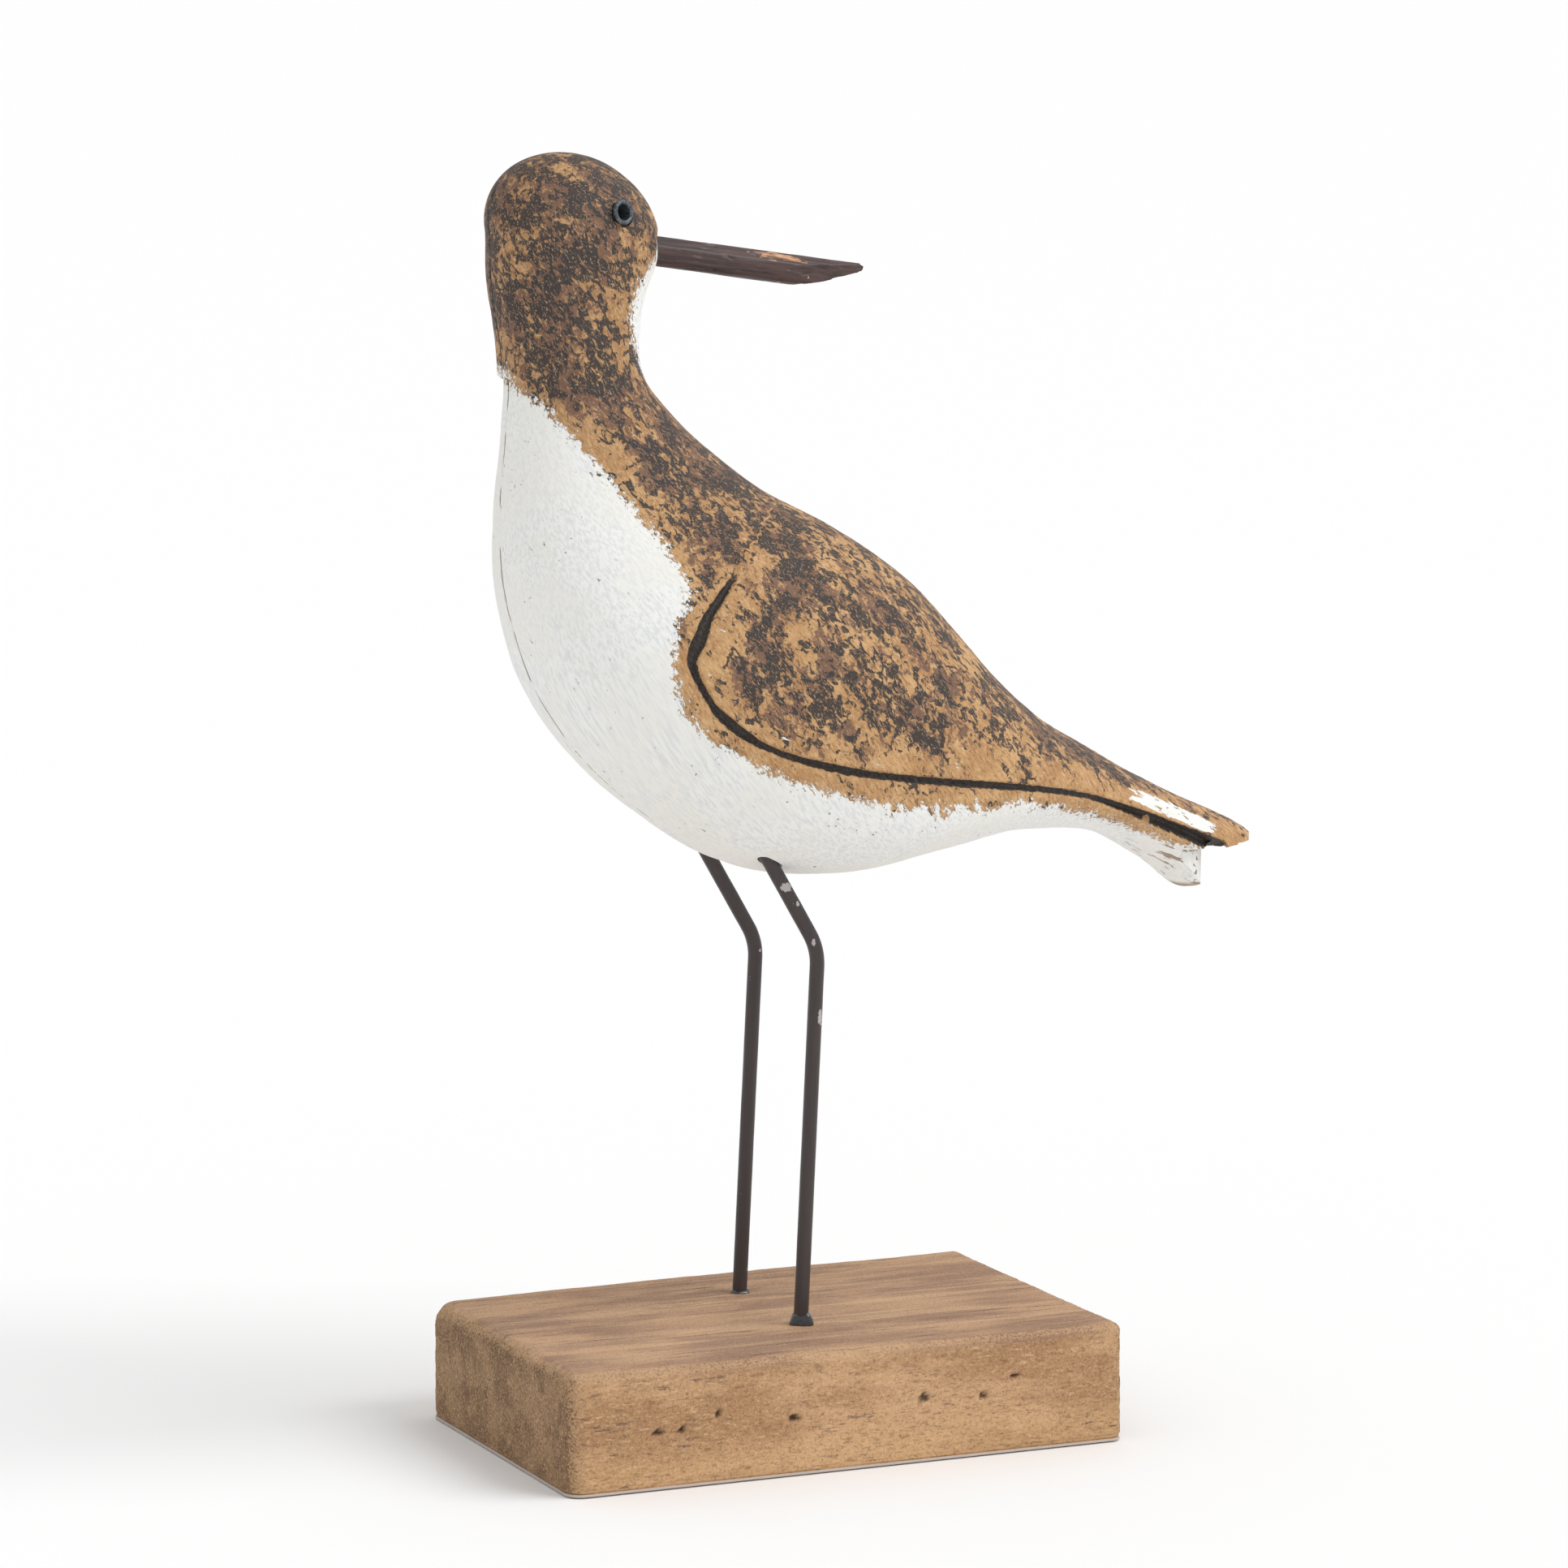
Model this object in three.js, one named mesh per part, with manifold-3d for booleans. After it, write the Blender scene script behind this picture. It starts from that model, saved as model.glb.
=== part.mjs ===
// A folk-carved wading bird on two bent wire legs, standing on a sawn wooden block.
// Millimetres, +Z up. The origin is the centre of the block's underside.
// The breast points to -X and the tail to +X. The head is turned right round,
// so the beak points to +X, back over the bird's own tail.
import * as THREE from 'three';
import { mergeVertices } from 'three/addons/utils/BufferGeometryUtils.js';
import Module from 'manifold-3d';

const wasm = await Module();
wasm.setup();

// Driving dimensions

const BLOCK = { length: 120, width: 77.4, height: 24.5, edgeRadius: 2.1, cornerRadius: 2.6 };

const WIRE_RADIUS = 1.5;
const BEND_RADIUS = 12;
const THIGH_LEAN = THREE.MathUtils.degToRad(30);
const LEG_DEPTH_IN_BLOCK = 14;
const LEG_TOP_Z = 129;
// x is where the wire meets the block's top, and the knee is where its two straight runs would cross
const LEGS = [
  { name: 'left_leg', x: -0.2, y: -14, kneeX: 3.5, kneeZ: 100 },
  { name: 'right_leg', x: 0.4, y: 18, kneeX: 4.1, kneeZ: 96.8 },
];

// The bird's middle plane, halfway between its legs
const MID_Y = 2;

// Cross-sections of the carving, from the ear line down the neck and back to the tail.
// keel is the edge on the nape, breast and belly side, back the edge on the face, throat and
// back side, both as [x, z] in the middle plane. half is half the width across, and square is
// the superellipse exponent: 2 is a plain ellipse, more is boxier.
const SECTIONS = [
  { keel: [-59.3, 242.5], back: [-24.7, 242.5], half: 14.0, square: 2.0 },
  { keel: [-59.2, 234.5], back: [-26.3, 234.5], half: 13.6, square: 2.0 },
  { keel: [-58.2, 226.5], back: [-28.4, 224.5], half: 12.8, square: 2.0 },
  { keel: [-56.4, 216.0], back: [-27.8, 214.5], half: 12.6, square: 2.0 },
  { keel: [-56.2, 204.0], back: [-20.6, 205.0], half: 14.3, square: 2.05 },
  { keel: [-57.4, 187.5], back: [-11.5, 197.0], half: 17.2, square: 2.15 },
  { keel: [-56.6, 172.5], back: [-2.0, 190.2], half: 21.5, square: 2.3 },
  { keel: [-51.6, 155.5], back: [9.3, 184.4], half: 27.0, square: 2.4 },
  { keel: [-41.8, 140.0], back: [19.2, 178.3], half: 30.2, square: 2.45 },
  { keel: [-27.2, 126.7], back: [28.3, 171.1], half: 31.2, square: 2.45 },
  { keel: [-9.6, 115.9], back: [36.8, 162.3], half: 30.9, square: 2.4 },
  { keel: [9.6, 113.3], back: [45.8, 152.1], half: 29.3, square: 2.4 },
  { keel: [29.5, 116.5], back: [56.0, 143.2], half: 26.2, square: 2.35 },
  { keel: [45.5, 119.4], back: [66.4, 137.0], half: 22.5, square: 2.3 },
  { keel: [59.7, 119.3], back: [76.4, 131.2], half: 18.5, square: 2.2 },
  { keel: [72.6, 117.2], back: [87.5, 125.6], half: 14.7, square: 2.1 },
  { keel: [84.0, 111.2], back: [98.0, 121.0], half: 11.6, square: 2.05 },
  { keel: [93.0, 104.7], back: [104.5, 117.8], half: 9.2, square: 2.0 },
  { keel: [101.0, 106.0], back: [108.0, 115.5], half: 7.0, square: 2.0 },
];
const CROWN = [-44.6, 257.8];
const BODY_SIDES = 36;
const RINGS_PER_SECTION = 3;
const CROWN_RINGS = 5;

// The folded wing's edge, a groove cut into both sides, as [x, z] from the shoulder to the tail
const WING_EDGE = [
  [-18, 176], [-27, 165.6], [-29.4, 158], [-25, 150], [-10, 141],
  [11, 135], [32, 132.6], [58, 128], [80, 121], [95, 114.2],
];
const GROOVE = { halfWidth: 1.15, depth: 1.1, tailHalfWidth: 1.6, tailDepth: 2.2, steps: 38, sides: 6 };

// Behind the groove the wing tips stick out over a shorter tail
const NOTCH = { x: 96.3, z: 113.9, rise: 0.5 };
const TAIL_CORNER_RADIUS = 3.4;
const TAIL_BOTTOM_Z = 105;
const TAIL_PLAN = { endX: 96.3, halfWidth: 8.6, length: 8.5 };
const WING_TIP_PLAN = { endX: 107.6, halfWidth: 6.4, length: 6 };

// The beak is a dowel, set in the head and whittled to a point
const BEAK = { radius: 3, rootX: -22.6, rootZ: 237.8, droop: 0.145, length: 43, depthInHead: 9 };
const BEAK_BEVEL = { start: 26, tipThickness: 1.3 };
const BEAK_FLAT = { fromAxis: 2.75, angle: THREE.MathUtils.degToRad(50) };

// Each eye is a small metal eyelet, pressed into the side of the head
const EYELET = { flangeRadius: 2.5, rollRadius: 0.62, barrelRadius: 1.75, barrelLength: 3, x: -36.6, z: 246.4 };
const EYE_TURN = THREE.MathUtils.degToRad(16);
const EYE_LIFT = THREE.MathUtils.degToRad(8);

// Clearance between a piece and the hole it sits in
const GAP = 0.35;

// Solids from rings, and joins and cuts

// A closed solid from rings of points, each ring turning the same way, with a flat or pointed end
function ringSolid(rings, firstTip, lastTip) {
  const sides = rings[0].length;
  const points = rings.flat();
  const first = points.push(firstTip ?? centreOf(rings[0])) - 1;
  const last = points.push(lastTip ?? centreOf(rings[rings.length - 1])) - 1;
  const end = (rings.length - 1) * sides;
  const index = [];
  for (let i = 0; i < sides; i++) {
    const j = (i + 1) % sides;
    index.push(first, j, i, last, end + i, end + j);
    for (let k = 0; k < end; k += sides) {
      index.push(k + i, k + j, k + sides + j, k + i, k + sides + j, k + sides + i);
    }
  }
  const geometry = new THREE.BufferGeometry().setFromPoints(points);
  geometry.setIndex(index);
  return geometry;
}

function centreOf(ring) {
  return ring.reduce((sum, p) => sum.add(p), new THREE.Vector3()).divideScalar(ring.length);
}

function toSolid(geometry) {
  const bare = geometry.clone();
  bare.deleteAttribute('normal');
  bare.deleteAttribute('uv');
  const merged = mergeVertices(bare, 1e-4);
  const mesh = new wasm.Mesh({
    numProp: 3,
    vertProperties: new Float32Array(merged.attributes.position.array),
    triVerts: new Uint32Array(merged.index.array),
  });
  return new wasm.Manifold(mesh);
}

function toGeometry(solid) {
  const { vertProperties, triVerts } = solid.getMesh();
  const geometry = new THREE.BufferGeometry();
  geometry.setAttribute('position', new THREE.BufferAttribute(vertProperties, 3));
  geometry.setIndex(new THREE.BufferAttribute(triVerts, 1));
  return geometry;
}

function cutAway(geometry, cutters) {
  return toGeometry(cutters.reduce((solid, cutter) => solid.subtract(toSolid(cutter)), toSolid(geometry)));
}

// A round peg from one point to another, used for the dowel and for drilled holes
function peg(from, to, radius, sides) {
  const along = new THREE.Vector3().subVectors(to, from);
  const geometry = new THREE.CylinderGeometry(radius, radius, along.length(), sides);
  geometry.applyQuaternion(new THREE.Quaternion().setFromUnitVectors(
    new THREE.Vector3(0, 1, 0),
    along.clone().normalize(),
  ));
  return geometry.translate(...from.clone().addScaledVector(along, 0.5));
}

// An outline drawn in X and Z, made solid across the bird's middle plane
function acrossBird(shape, width) {
  const geometry = new THREE.ExtrudeGeometry(shape, { depth: width, bevelEnabled: false, curveSegments: 6 });
  return geometry.rotateX(Math.PI / 2).translate(0, MID_Y + width / 2, 0);
}

// Block

function blockRing(inset, z) {
  const { length, width, cornerRadius } = BLOCK;
  const cornerSteps = 4;
  const radius = cornerRadius - inset;
  const ring = [];
  for (let corner = 0; corner < 4; corner++) {
    const signX = corner === 0 || corner === 3 ? 1 : -1;
    const signY = corner < 2 ? 1 : -1;
    for (let i = 0; i <= cornerSteps; i++) {
      const angle = (corner + i / cornerSteps) * Math.PI / 2;
      const x = signX * (length / 2 - cornerRadius) + radius * Math.cos(angle);
      const y = signY * (width / 2 - cornerRadius) + radius * Math.sin(angle);
      ring.push(new THREE.Vector3(x, y, z));
    }
  }
  return ring;
}

function blockGeometry() {
  const { height, edgeRadius } = BLOCK;
  const edgeSteps = 4;
  const rings = [blockRing(0, 0)];
  for (let i = 0; i <= edgeSteps; i++) {
    const angle = (i / edgeSteps) * Math.PI / 2;
    rings.push(blockRing(edgeRadius * (1 - Math.cos(angle)), height - edgeRadius * (1 - Math.sin(angle))));
  }
  return cutAway(ringSolid(rings), LEGS.map(legHoleInBlock));
}

// Legs

// The middle line of a wire: straight up from inside the block, round the knee, straight into the body
class LegLine extends THREE.Curve {
  constructor(leg) {
    super();
    const knee = new THREE.Vector3(leg.kneeX, leg.y, leg.kneeZ);
    const shin = new THREE.Vector3(leg.kneeX - leg.x, 0, leg.kneeZ - BLOCK.height).normalize();
    const thigh = new THREE.Vector3(-Math.sin(THIGH_LEAN), 0, Math.cos(THIGH_LEAN));
    const tangent = BEND_RADIUS * Math.tan(shin.angleTo(thigh) / 2);
    this.bottom = pointAtHeight(knee, shin, BLOCK.height - LEG_DEPTH_IN_BLOCK);
    this.bendStart = knee.clone().addScaledVector(shin, -tangent);
    this.bendEnd = knee.clone().addScaledVector(thigh, tangent);
    this.top = pointAtHeight(knee, thigh, LEG_TOP_Z);
    this.bend = new THREE.QuadraticBezierCurve3(this.bendStart, knee, this.bendEnd);
  }

  // The three runs share the steps evenly, so the knee gets the finest ones
  getPoint(t) {
    if (t <= 0.2) return this.bottom.clone().lerp(this.bendStart, t / 0.2);
    if (t >= 0.8) return this.bendEnd.clone().lerp(this.top, (t - 0.8) / 0.2);
    return this.bend.getPoint((t - 0.2) / 0.6);
  }

  getUtoTmapping(u) {
    return u;
  }
}

function pointAtHeight(from, direction, z) {
  return from.clone().addScaledVector(direction, (z - from.z) / direction.z);
}

function legGeometry(leg) {
  const section = new THREE.Shape().absarc(0, 0, WIRE_RADIUS, 0, 2 * Math.PI);
  const path = new LegLine(leg);
  return new THREE.ExtrudeGeometry(section, { steps: 12, curveSegments: 7, extrudePath: path });
}

function legHoleInBlock(leg) {
  const { bottom, bendStart } = new LegLine(leg);
  const floor = bottom.clone().lerp(bendStart, -GAP / bottom.distanceTo(bendStart));
  return peg(floor, bendStart, WIRE_RADIUS + GAP, 12);
}

function legHoleInBody(leg) {
  const { bendEnd, top } = new LegLine(leg);
  const ceiling = top.clone().lerp(bendEnd, -GAP / bendEnd.distanceTo(top));
  return peg(bendEnd, ceiling, WIRE_RADIUS + GAP, 12);
}

// Body, neck and head in one carving

function bodyRing(keel, back, half, square) {
  const middle = keel.clone().add(back).multiplyScalar(0.5);
  const across = back.clone().sub(keel).multiplyScalar(0.5);
  const ring = [];
  for (let i = 0; i < BODY_SIDES; i++) {
    const angle = (i / BODY_SIDES) * 2 * Math.PI;
    const u = superCosine(Math.cos(angle), square);
    const v = superCosine(Math.sin(angle), square);
    ring.push(new THREE.Vector3(middle.x + u * across.x, MID_Y - v * half, middle.y + u * across.y));
  }
  return ring;
}

function superCosine(value, square) {
  return Math.sign(value) * Math.abs(value) ** (2 / square);
}

// The head above the ear line is a dome over the first section, leaning to the crown
function crownRings() {
  const { keel, back, half, square } = SECTIONS[0];
  const keelPoint = new THREE.Vector2(...keel);
  const backPoint = new THREE.Vector2(...back);
  const middle = keelPoint.clone().add(backPoint).multiplyScalar(0.5);
  const rise = new THREE.Vector2(...CROWN).sub(middle);
  const rings = [];
  for (let i = CROWN_RINGS; i > 0; i--) {
    const angle = (i / (CROWN_RINGS + 1)) * Math.PI / 2;
    const centre = middle.clone().addScaledVector(rise, Math.sin(angle));
    const shrink = (point) => point.clone().sub(middle).multiplyScalar(Math.cos(angle)).add(centre);
    rings.push(bodyRing(shrink(keelPoint), shrink(backPoint), half * Math.cos(angle), square));
  }
  return rings;
}

function smoothThrough(values) {
  return new THREE.CatmullRomCurve3(values.map((value) => new THREE.Vector3(...value)));
}

function bodyBlank() {
  const keelLine = smoothThrough(SECTIONS.map(({ keel }) => [...keel, 0]));
  const backLine = smoothThrough(SECTIONS.map(({ back }) => [...back, 0]));
  const girth = smoothThrough(SECTIONS.map(({ half, square }) => [half, square, 0]));
  const steps = (SECTIONS.length - 1) * RINGS_PER_SECTION;
  const rings = crownRings();
  for (let i = 0; i <= steps; i++) {
    const { x: half, y: square } = girth.getPoint(i / steps);
    rings.push(bodyRing(keelLine.getPoint(i / steps), backLine.getPoint(i / steps), half, square));
  }
  return ringSolid(rings, new THREE.Vector3(CROWN[0], MID_Y, CROWN[1]));
}

// The point where a line across the bird, at x and z, first meets the surface from one side
function surfacePoint(mesh, x, z, side) {
  const from = new THREE.Vector3(x, MID_Y + side * 100, z);
  const hits = new THREE.Raycaster(from, new THREE.Vector3(0, -side, 0)).intersectObject(mesh);
  return hits[0].point;
}

function wingGroove(mesh, side) {
  const edge = smoothThrough(WING_EDGE.map(([x, z]) => [x, 0, z]));
  const { halfWidth, depth, tailHalfWidth, tailDepth, steps, sides } = GROOVE;
  const out = new THREE.Vector3(0, side, 0);
  const rings = [];
  for (let i = 0; i <= steps; i++) {
    const t = i / steps;
    const at = edge.getPointAt(t);
    const centre = surfacePoint(mesh, at.x, at.z, side);
    const across = edge.getTangentAt(t).cross(out).normalize().multiplyScalar(side);
    const fade = Math.min(1, 0.35 + 8 * t);
    const widen = THREE.MathUtils.smoothstep(t, 0.6, 1);
    const wide = THREE.MathUtils.lerp(halfWidth, tailHalfWidth, widen) * fade;
    const deep = THREE.MathUtils.lerp(depth, tailDepth, widen) * fade;
    rings.push(grooveRing(centre, across, out, wide, deep, sides));
  }
  return ringSolid(side > 0 ? rings.reverse() : rings);
}

function grooveRing(centre, across, out, wide, deep, sides) {
  const ring = [];
  for (let j = 0; j < sides; j++) {
    const angle = (j / sides) * 2 * Math.PI;
    const point = centre.clone().addScaledVector(across, wide * Math.cos(angle));
    ring.push(point.addScaledVector(out, deep * Math.sin(angle)));
  }
  return ring;
}

// What is cut away under the wing tips, leaving the tail with a rounded lower corner
function tailNotch() {
  const { x, z, rise } = NOTCH;
  const far = x + 30;
  const radius = TAIL_CORNER_RADIUS;
  const shape = new THREE.Shape();
  shape.moveTo(x, z);
  shape.lineTo(x, TAIL_BOTTOM_Z + radius);
  shape.absarc(x - radius, TAIL_BOTTOM_Z + radius, radius, 0, -Math.PI / 2, true);
  shape.lineTo(x - radius, TAIL_BOTTOM_Z - 10);
  shape.lineTo(far, TAIL_BOTTOM_Z - 10);
  shape.lineTo(far, z + rise);
  return acrossBird(shape, 60);
}

// What is cut away around an end that is rounded when seen from above
function roundedEnd({ endX, halfWidth, length }, lowZ, highZ) {
  const shape = new THREE.Shape();
  const wide = 30;
  const start = endX - length;
  shape.moveTo(start, -wide);
  shape.lineTo(start, -halfWidth);
  shape.absellipse(start, 0, length, halfWidth, -Math.PI / 2, Math.PI / 2, false, 0);
  shape.lineTo(start, wide);
  shape.lineTo(endX + wide, wide);
  shape.lineTo(endX + wide, -wide);
  const geometry = new THREE.ExtrudeGeometry(shape, { depth: highZ - lowZ, bevelEnabled: false, curveSegments: 10 });
  return geometry.translate(0, MID_Y, lowZ);
}

function bodyGeometry() {
  const blank = bodyBlank();
  const mesh = new THREE.Mesh(blank, new THREE.MeshBasicMaterial({ side: THREE.DoubleSide }));
  return cutAway(blank, [
    wingGroove(mesh, -1),
    wingGroove(mesh, 1),
    tailNotch(),
    roundedEnd(TAIL_PLAN, TAIL_BOTTOM_Z - 10, NOTCH.z),
    roundedEnd(WING_TIP_PLAN, NOTCH.z - 5, NOTCH.z + 20),
    beakSocket(),
    ...LEGS.map(legHoleInBody),
    ...[-1, 1].map((side) => eyeSeat(mesh, side)),
  ]);
}

// Beak

function alongBeak(distance, offset = 0) {
  const { rootX, rootZ, droop } = BEAK;
  const x = rootX + distance * Math.cos(droop) + offset * Math.sin(droop);
  const z = rootZ - distance * Math.sin(droop) + offset * Math.cos(droop);
  return new THREE.Vector3(x, MID_Y, z);
}

function beakSocket() {
  const { radius, depthInHead, length } = BEAK;
  return peg(alongBeak(-depthInHead - GAP), alongBeak(length / 2), radius + GAP, 20);
}

function beakGeometry() {
  const { radius, length, depthInHead } = BEAK;
  const dowel = peg(alongBeak(-depthInHead), alongBeak(length), radius, 20);
  return cutAway(dowel, [beakBevel(), beakFlat()]);
}

// The long slanting cut that brings the underside up to the tip, in two strokes
function beakBevel() {
  const { radius, length } = BEAK;
  const { start, tipThickness } = BEAK_BEVEL;
  const corners = [
    alongBeak(start, -radius),
    alongBeak(start + (length - start) * 0.6, -radius + 1.6),
    alongBeak(length, radius - tipThickness),
    alongBeak(length + 5, radius - tipThickness),
    alongBeak(length + 5, -radius - 5),
    alongBeak(start, -radius - 5),
  ];
  return acrossBird(new THREE.Shape(corners.map(({ x, z }) => new THREE.Vector2(x, z))), 20);
}

// A narrow planed strip along the dowel's upper left side
function beakFlat() {
  const { length, droop } = BEAK;
  const { fromAxis, angle } = BEAK_FLAT;
  const thickness = 4;
  const strip = new THREE.BoxGeometry(length * 2, 8, thickness);
  strip.translate(0, 0, fromAxis + thickness / 2);
  strip.rotateX(Math.PI / 2 - angle);
  strip.rotateY(droop);
  return strip.translate(...alongBeak(length));
}

// Eyes

// Turns a shape made along +Z to face out of one side of the head, and puts it on the surface
function placeOnHead(geometry, mesh, side) {
  geometry.rotateX(-side * (Math.PI / 2 - EYE_LIFT));
  geometry.rotateZ(-side * EYE_TURN);
  return geometry.translate(...surfacePoint(mesh, EYELET.x, EYELET.z, side));
}

function eyeSeat(mesh, side) {
  const { flangeRadius, rollRadius, barrelRadius, barrelLength } = EYELET;
  const seat = [
    new THREE.Vector2(0, -barrelLength - GAP),
    new THREE.Vector2(barrelRadius + GAP, -barrelLength - GAP),
    new THREE.Vector2(barrelRadius + GAP, -rollRadius),
    new THREE.Vector2(flangeRadius + GAP, -rollRadius),
    new THREE.Vector2(flangeRadius + GAP, barrelLength),
    new THREE.Vector2(0, barrelLength),
  ];
  return placeOnHead(latheUp(seat, 16), mesh, side);
}

function eyeletGeometry(mesh, side) {
  const { flangeRadius, rollRadius, barrelRadius, barrelLength } = EYELET;
  const rollCentre = flangeRadius - rollRadius;
  const profile = [new THREE.Vector2(barrelRadius - 0.5, -barrelLength)];
  profile.push(new THREE.Vector2(barrelRadius, -barrelLength));
  const rollSteps = 6;
  for (let i = 0; i <= rollSteps; i++) {
    const angle = -Math.PI / 2 + (i / rollSteps) * Math.PI * 1.5;
    const r = rollCentre + rollRadius * Math.cos(angle);
    profile.push(new THREE.Vector2(r, rollRadius * Math.sin(angle) + GAP));
  }
  profile.push(profile[0].clone());
  return placeOnHead(latheUp(profile, 18), mesh, side);
}

function latheUp(profile, sides) {
  return new THREE.LatheGeometry(profile, sides).rotateX(Math.PI / 2);
}

// Scene graph

function piece(name, geometry, color, roughness, metalness) {
  const material = new THREE.MeshStandardMaterial({ color, roughness, metalness });
  const mesh = new THREE.Mesh(geometry, material);
  mesh.name = name;
  return mesh;
}

const bird = new THREE.Group();
bird.add(piece('base_block', blockGeometry(), 0xa67a4c, 0.8, 0));
for (const leg of LEGS) {
  bird.add(piece(leg.name, legGeometry(leg), 0x2b2322, 0.4, 0.6));
}
bird.add(piece('bird_body', bodyGeometry(), 0xa98752, 0.7, 0));
bird.add(piece('beak', beakGeometry(), 0x3a2624, 0.55, 0));
const headSurface = new THREE.Mesh(bodyBlank(), new THREE.MeshBasicMaterial({ side: THREE.DoubleSide }));
bird.add(piece('left_eyelet', eyeletGeometry(headSurface, -1), 0x5d6468, 0.35, 0.9));
bird.add(piece('right_eyelet', eyeletGeometry(headSurface, 1), 0x5d6468, 0.35, 0.9));

export default bird;
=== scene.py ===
import math

import bmesh
import bpy
import numpy as np
from mathutils import Matrix, Vector
from mathutils.bvhtree import BVHTree
from mathutils.kdtree import KDTree


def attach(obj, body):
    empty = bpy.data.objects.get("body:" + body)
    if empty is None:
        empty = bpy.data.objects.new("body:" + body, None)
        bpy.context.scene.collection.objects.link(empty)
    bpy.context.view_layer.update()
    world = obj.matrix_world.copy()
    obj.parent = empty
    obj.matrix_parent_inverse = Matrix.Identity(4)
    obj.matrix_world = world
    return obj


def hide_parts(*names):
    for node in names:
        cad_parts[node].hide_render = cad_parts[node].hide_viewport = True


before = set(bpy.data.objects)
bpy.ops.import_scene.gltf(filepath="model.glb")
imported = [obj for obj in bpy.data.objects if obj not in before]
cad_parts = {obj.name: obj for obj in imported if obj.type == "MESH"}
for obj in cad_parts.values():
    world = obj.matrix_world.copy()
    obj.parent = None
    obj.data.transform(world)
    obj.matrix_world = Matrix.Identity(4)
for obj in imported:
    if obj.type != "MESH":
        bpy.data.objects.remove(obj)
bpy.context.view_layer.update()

# All shapes below are worked out in millimetres and scaled to metres when a mesh is made.
MM = 0.001
SEED = 7

# Block
BLOCK_LENGTH, BLOCK_WIDTH, BLOCK_HEIGHT = 120.0, 77.4, 24.5
BLOCK_EDGE_LEFT, BLOCK_EDGE_RIGHT = 3.6, 2.4
# The top of the thin pale band along the block's foot
PALE_BAND_TOP = 0.55

# Legs: the foot is where the wire meets the block's top, the knee where its straight runs would cross
WIRE_RADIUS = 1.5
BEND_RADIUS = 12.0
THIGH_LEAN = math.radians(30)
LEG_DEPTH_IN_BLOCK = 14.0
LEG_TOP_Z = 129.0
LEGS = {
    "left_leg": {"foot_x": -0.2, "y": -14.0, "knee": (3.5, 100.0)},
    "right_leg": {"foot_x": 0.4, "y": 18.0, "knee": (4.1, 96.8)},
}

# Carving: sections from the ear line to the tail, as in the part's own source.
# Each is keel x, keel z, back x, back z, half width, superellipse exponent.
MID_Y = 2.0
SECTIONS = np.array([
    (-59.3, 242.5, -24.7, 242.5, 14.0, 2.0),
    (-59.2, 234.5, -26.3, 234.5, 13.6, 2.0),
    (-58.2, 226.5, -28.4, 224.5, 12.8, 2.0),
    (-56.4, 216.0, -27.8, 214.5, 12.6, 2.0),
    (-56.2, 204.0, -20.6, 205.0, 14.3, 2.05),
    (-57.4, 187.5, -11.5, 197.0, 17.2, 2.15),
    (-56.6, 172.5, -2.0, 190.2, 21.5, 2.3),
    (-51.6, 155.5, 9.3, 184.4, 27.0, 2.4),
    (-41.8, 140.0, 19.2, 178.3, 30.2, 2.45),
    (-27.2, 126.7, 28.3, 171.1, 31.2, 2.45),
    (-9.6, 115.9, 36.8, 162.3, 30.9, 2.4),
    (9.6, 113.3, 45.8, 152.1, 29.3, 2.4),
    (29.5, 116.5, 56.0, 143.2, 26.2, 2.35),
    (45.5, 119.4, 66.4, 137.0, 22.5, 2.3),
    (59.7, 119.3, 76.4, 131.2, 18.5, 2.2),
    (72.6, 117.2, 87.5, 125.6, 14.7, 2.1),
    (84.0, 111.2, 98.0, 121.0, 11.6, 2.05),
    (93.0, 104.7, 104.5, 117.8, 9.2, 2.0),
    (101.0, 106.0, 108.0, 115.5, 7.0, 2.0),
])
CROWN = np.array((-44.6, 257.7))
BODY_SIDES = 168
RINGS_PER_SECTION, RINGS_PER_TAIL_SECTION = 15, 26
TAIL_SECTIONS = 6
CROWN_RINGS = 22

# Wing edge and painted borders, all as x, z seen from the side.
# The wing's edge is a groove, and its third number is half the groove's width there.
WING_EDGE = np.array([
    (-18, 176.6, 0.35), (-21.4, 172.6, 0.85), (-24.7, 168.5, 1.0), (-26.7, 164.1, 1.4), (-28.3, 160.7, 1.05),
    (-27.9, 158, 0.8), (-26.4, 154.7, 0.65), (-24, 150.7, 0.8), (-20.3, 147.2, 1.15), (-14.8, 143.4, 0.7),
    (-7.3, 140.3, 0.7), (1.9, 137.7, 0.85), (13, 135.6, 0.75), (26, 133.7, 0.78), (40, 131.8, 0.75),
    (53.4, 129.6, 0.6), (62.1, 127.5, 0.6), (72.1, 123.9, 0.9), (78.7, 121.3, 1.2), (83.6, 119.2, 1.3),
    (89.8, 116.7, 1.45), (96.5, 113.8, 1.6),
])
WHITE_EDGE = np.array([
    (-80, 217), (-57.5, 216.5), (-54, 211), (-50.4, 207.7), (-42.2, 196.7), (-33.6, 185.7),
    (-28.5, 178), (-27.6, 173), (-30.8, 167), (-31.6, 161), (-31, 155), (-28.5, 149.5),
    (-23.5, 144), (-15.8, 139.5), (-7.4, 135.5), (2.8, 132.3), (13.5, 129.6), (24.6, 128.2),
    (36, 128.2), (48, 127.6), (59, 125), (70.6, 121.3), (80, 117.6), (88, 114.9), (97, 113),
    (120, 112), (120, 90), (-80, 90),
], float)
THROAT_EDGE = np.array([
    (-20, 240.4), (-25.2, 239.8), (-27.6, 236.8), (-30.0, 234.2), (-32.7, 231.6), (-33.4, 228.4), (-33.2, 224.4),
    (-32.3, 220.4), (-30.3, 216.5), (-27, 212), (-10, 212), (-10, 240.4),
], float)
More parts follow.
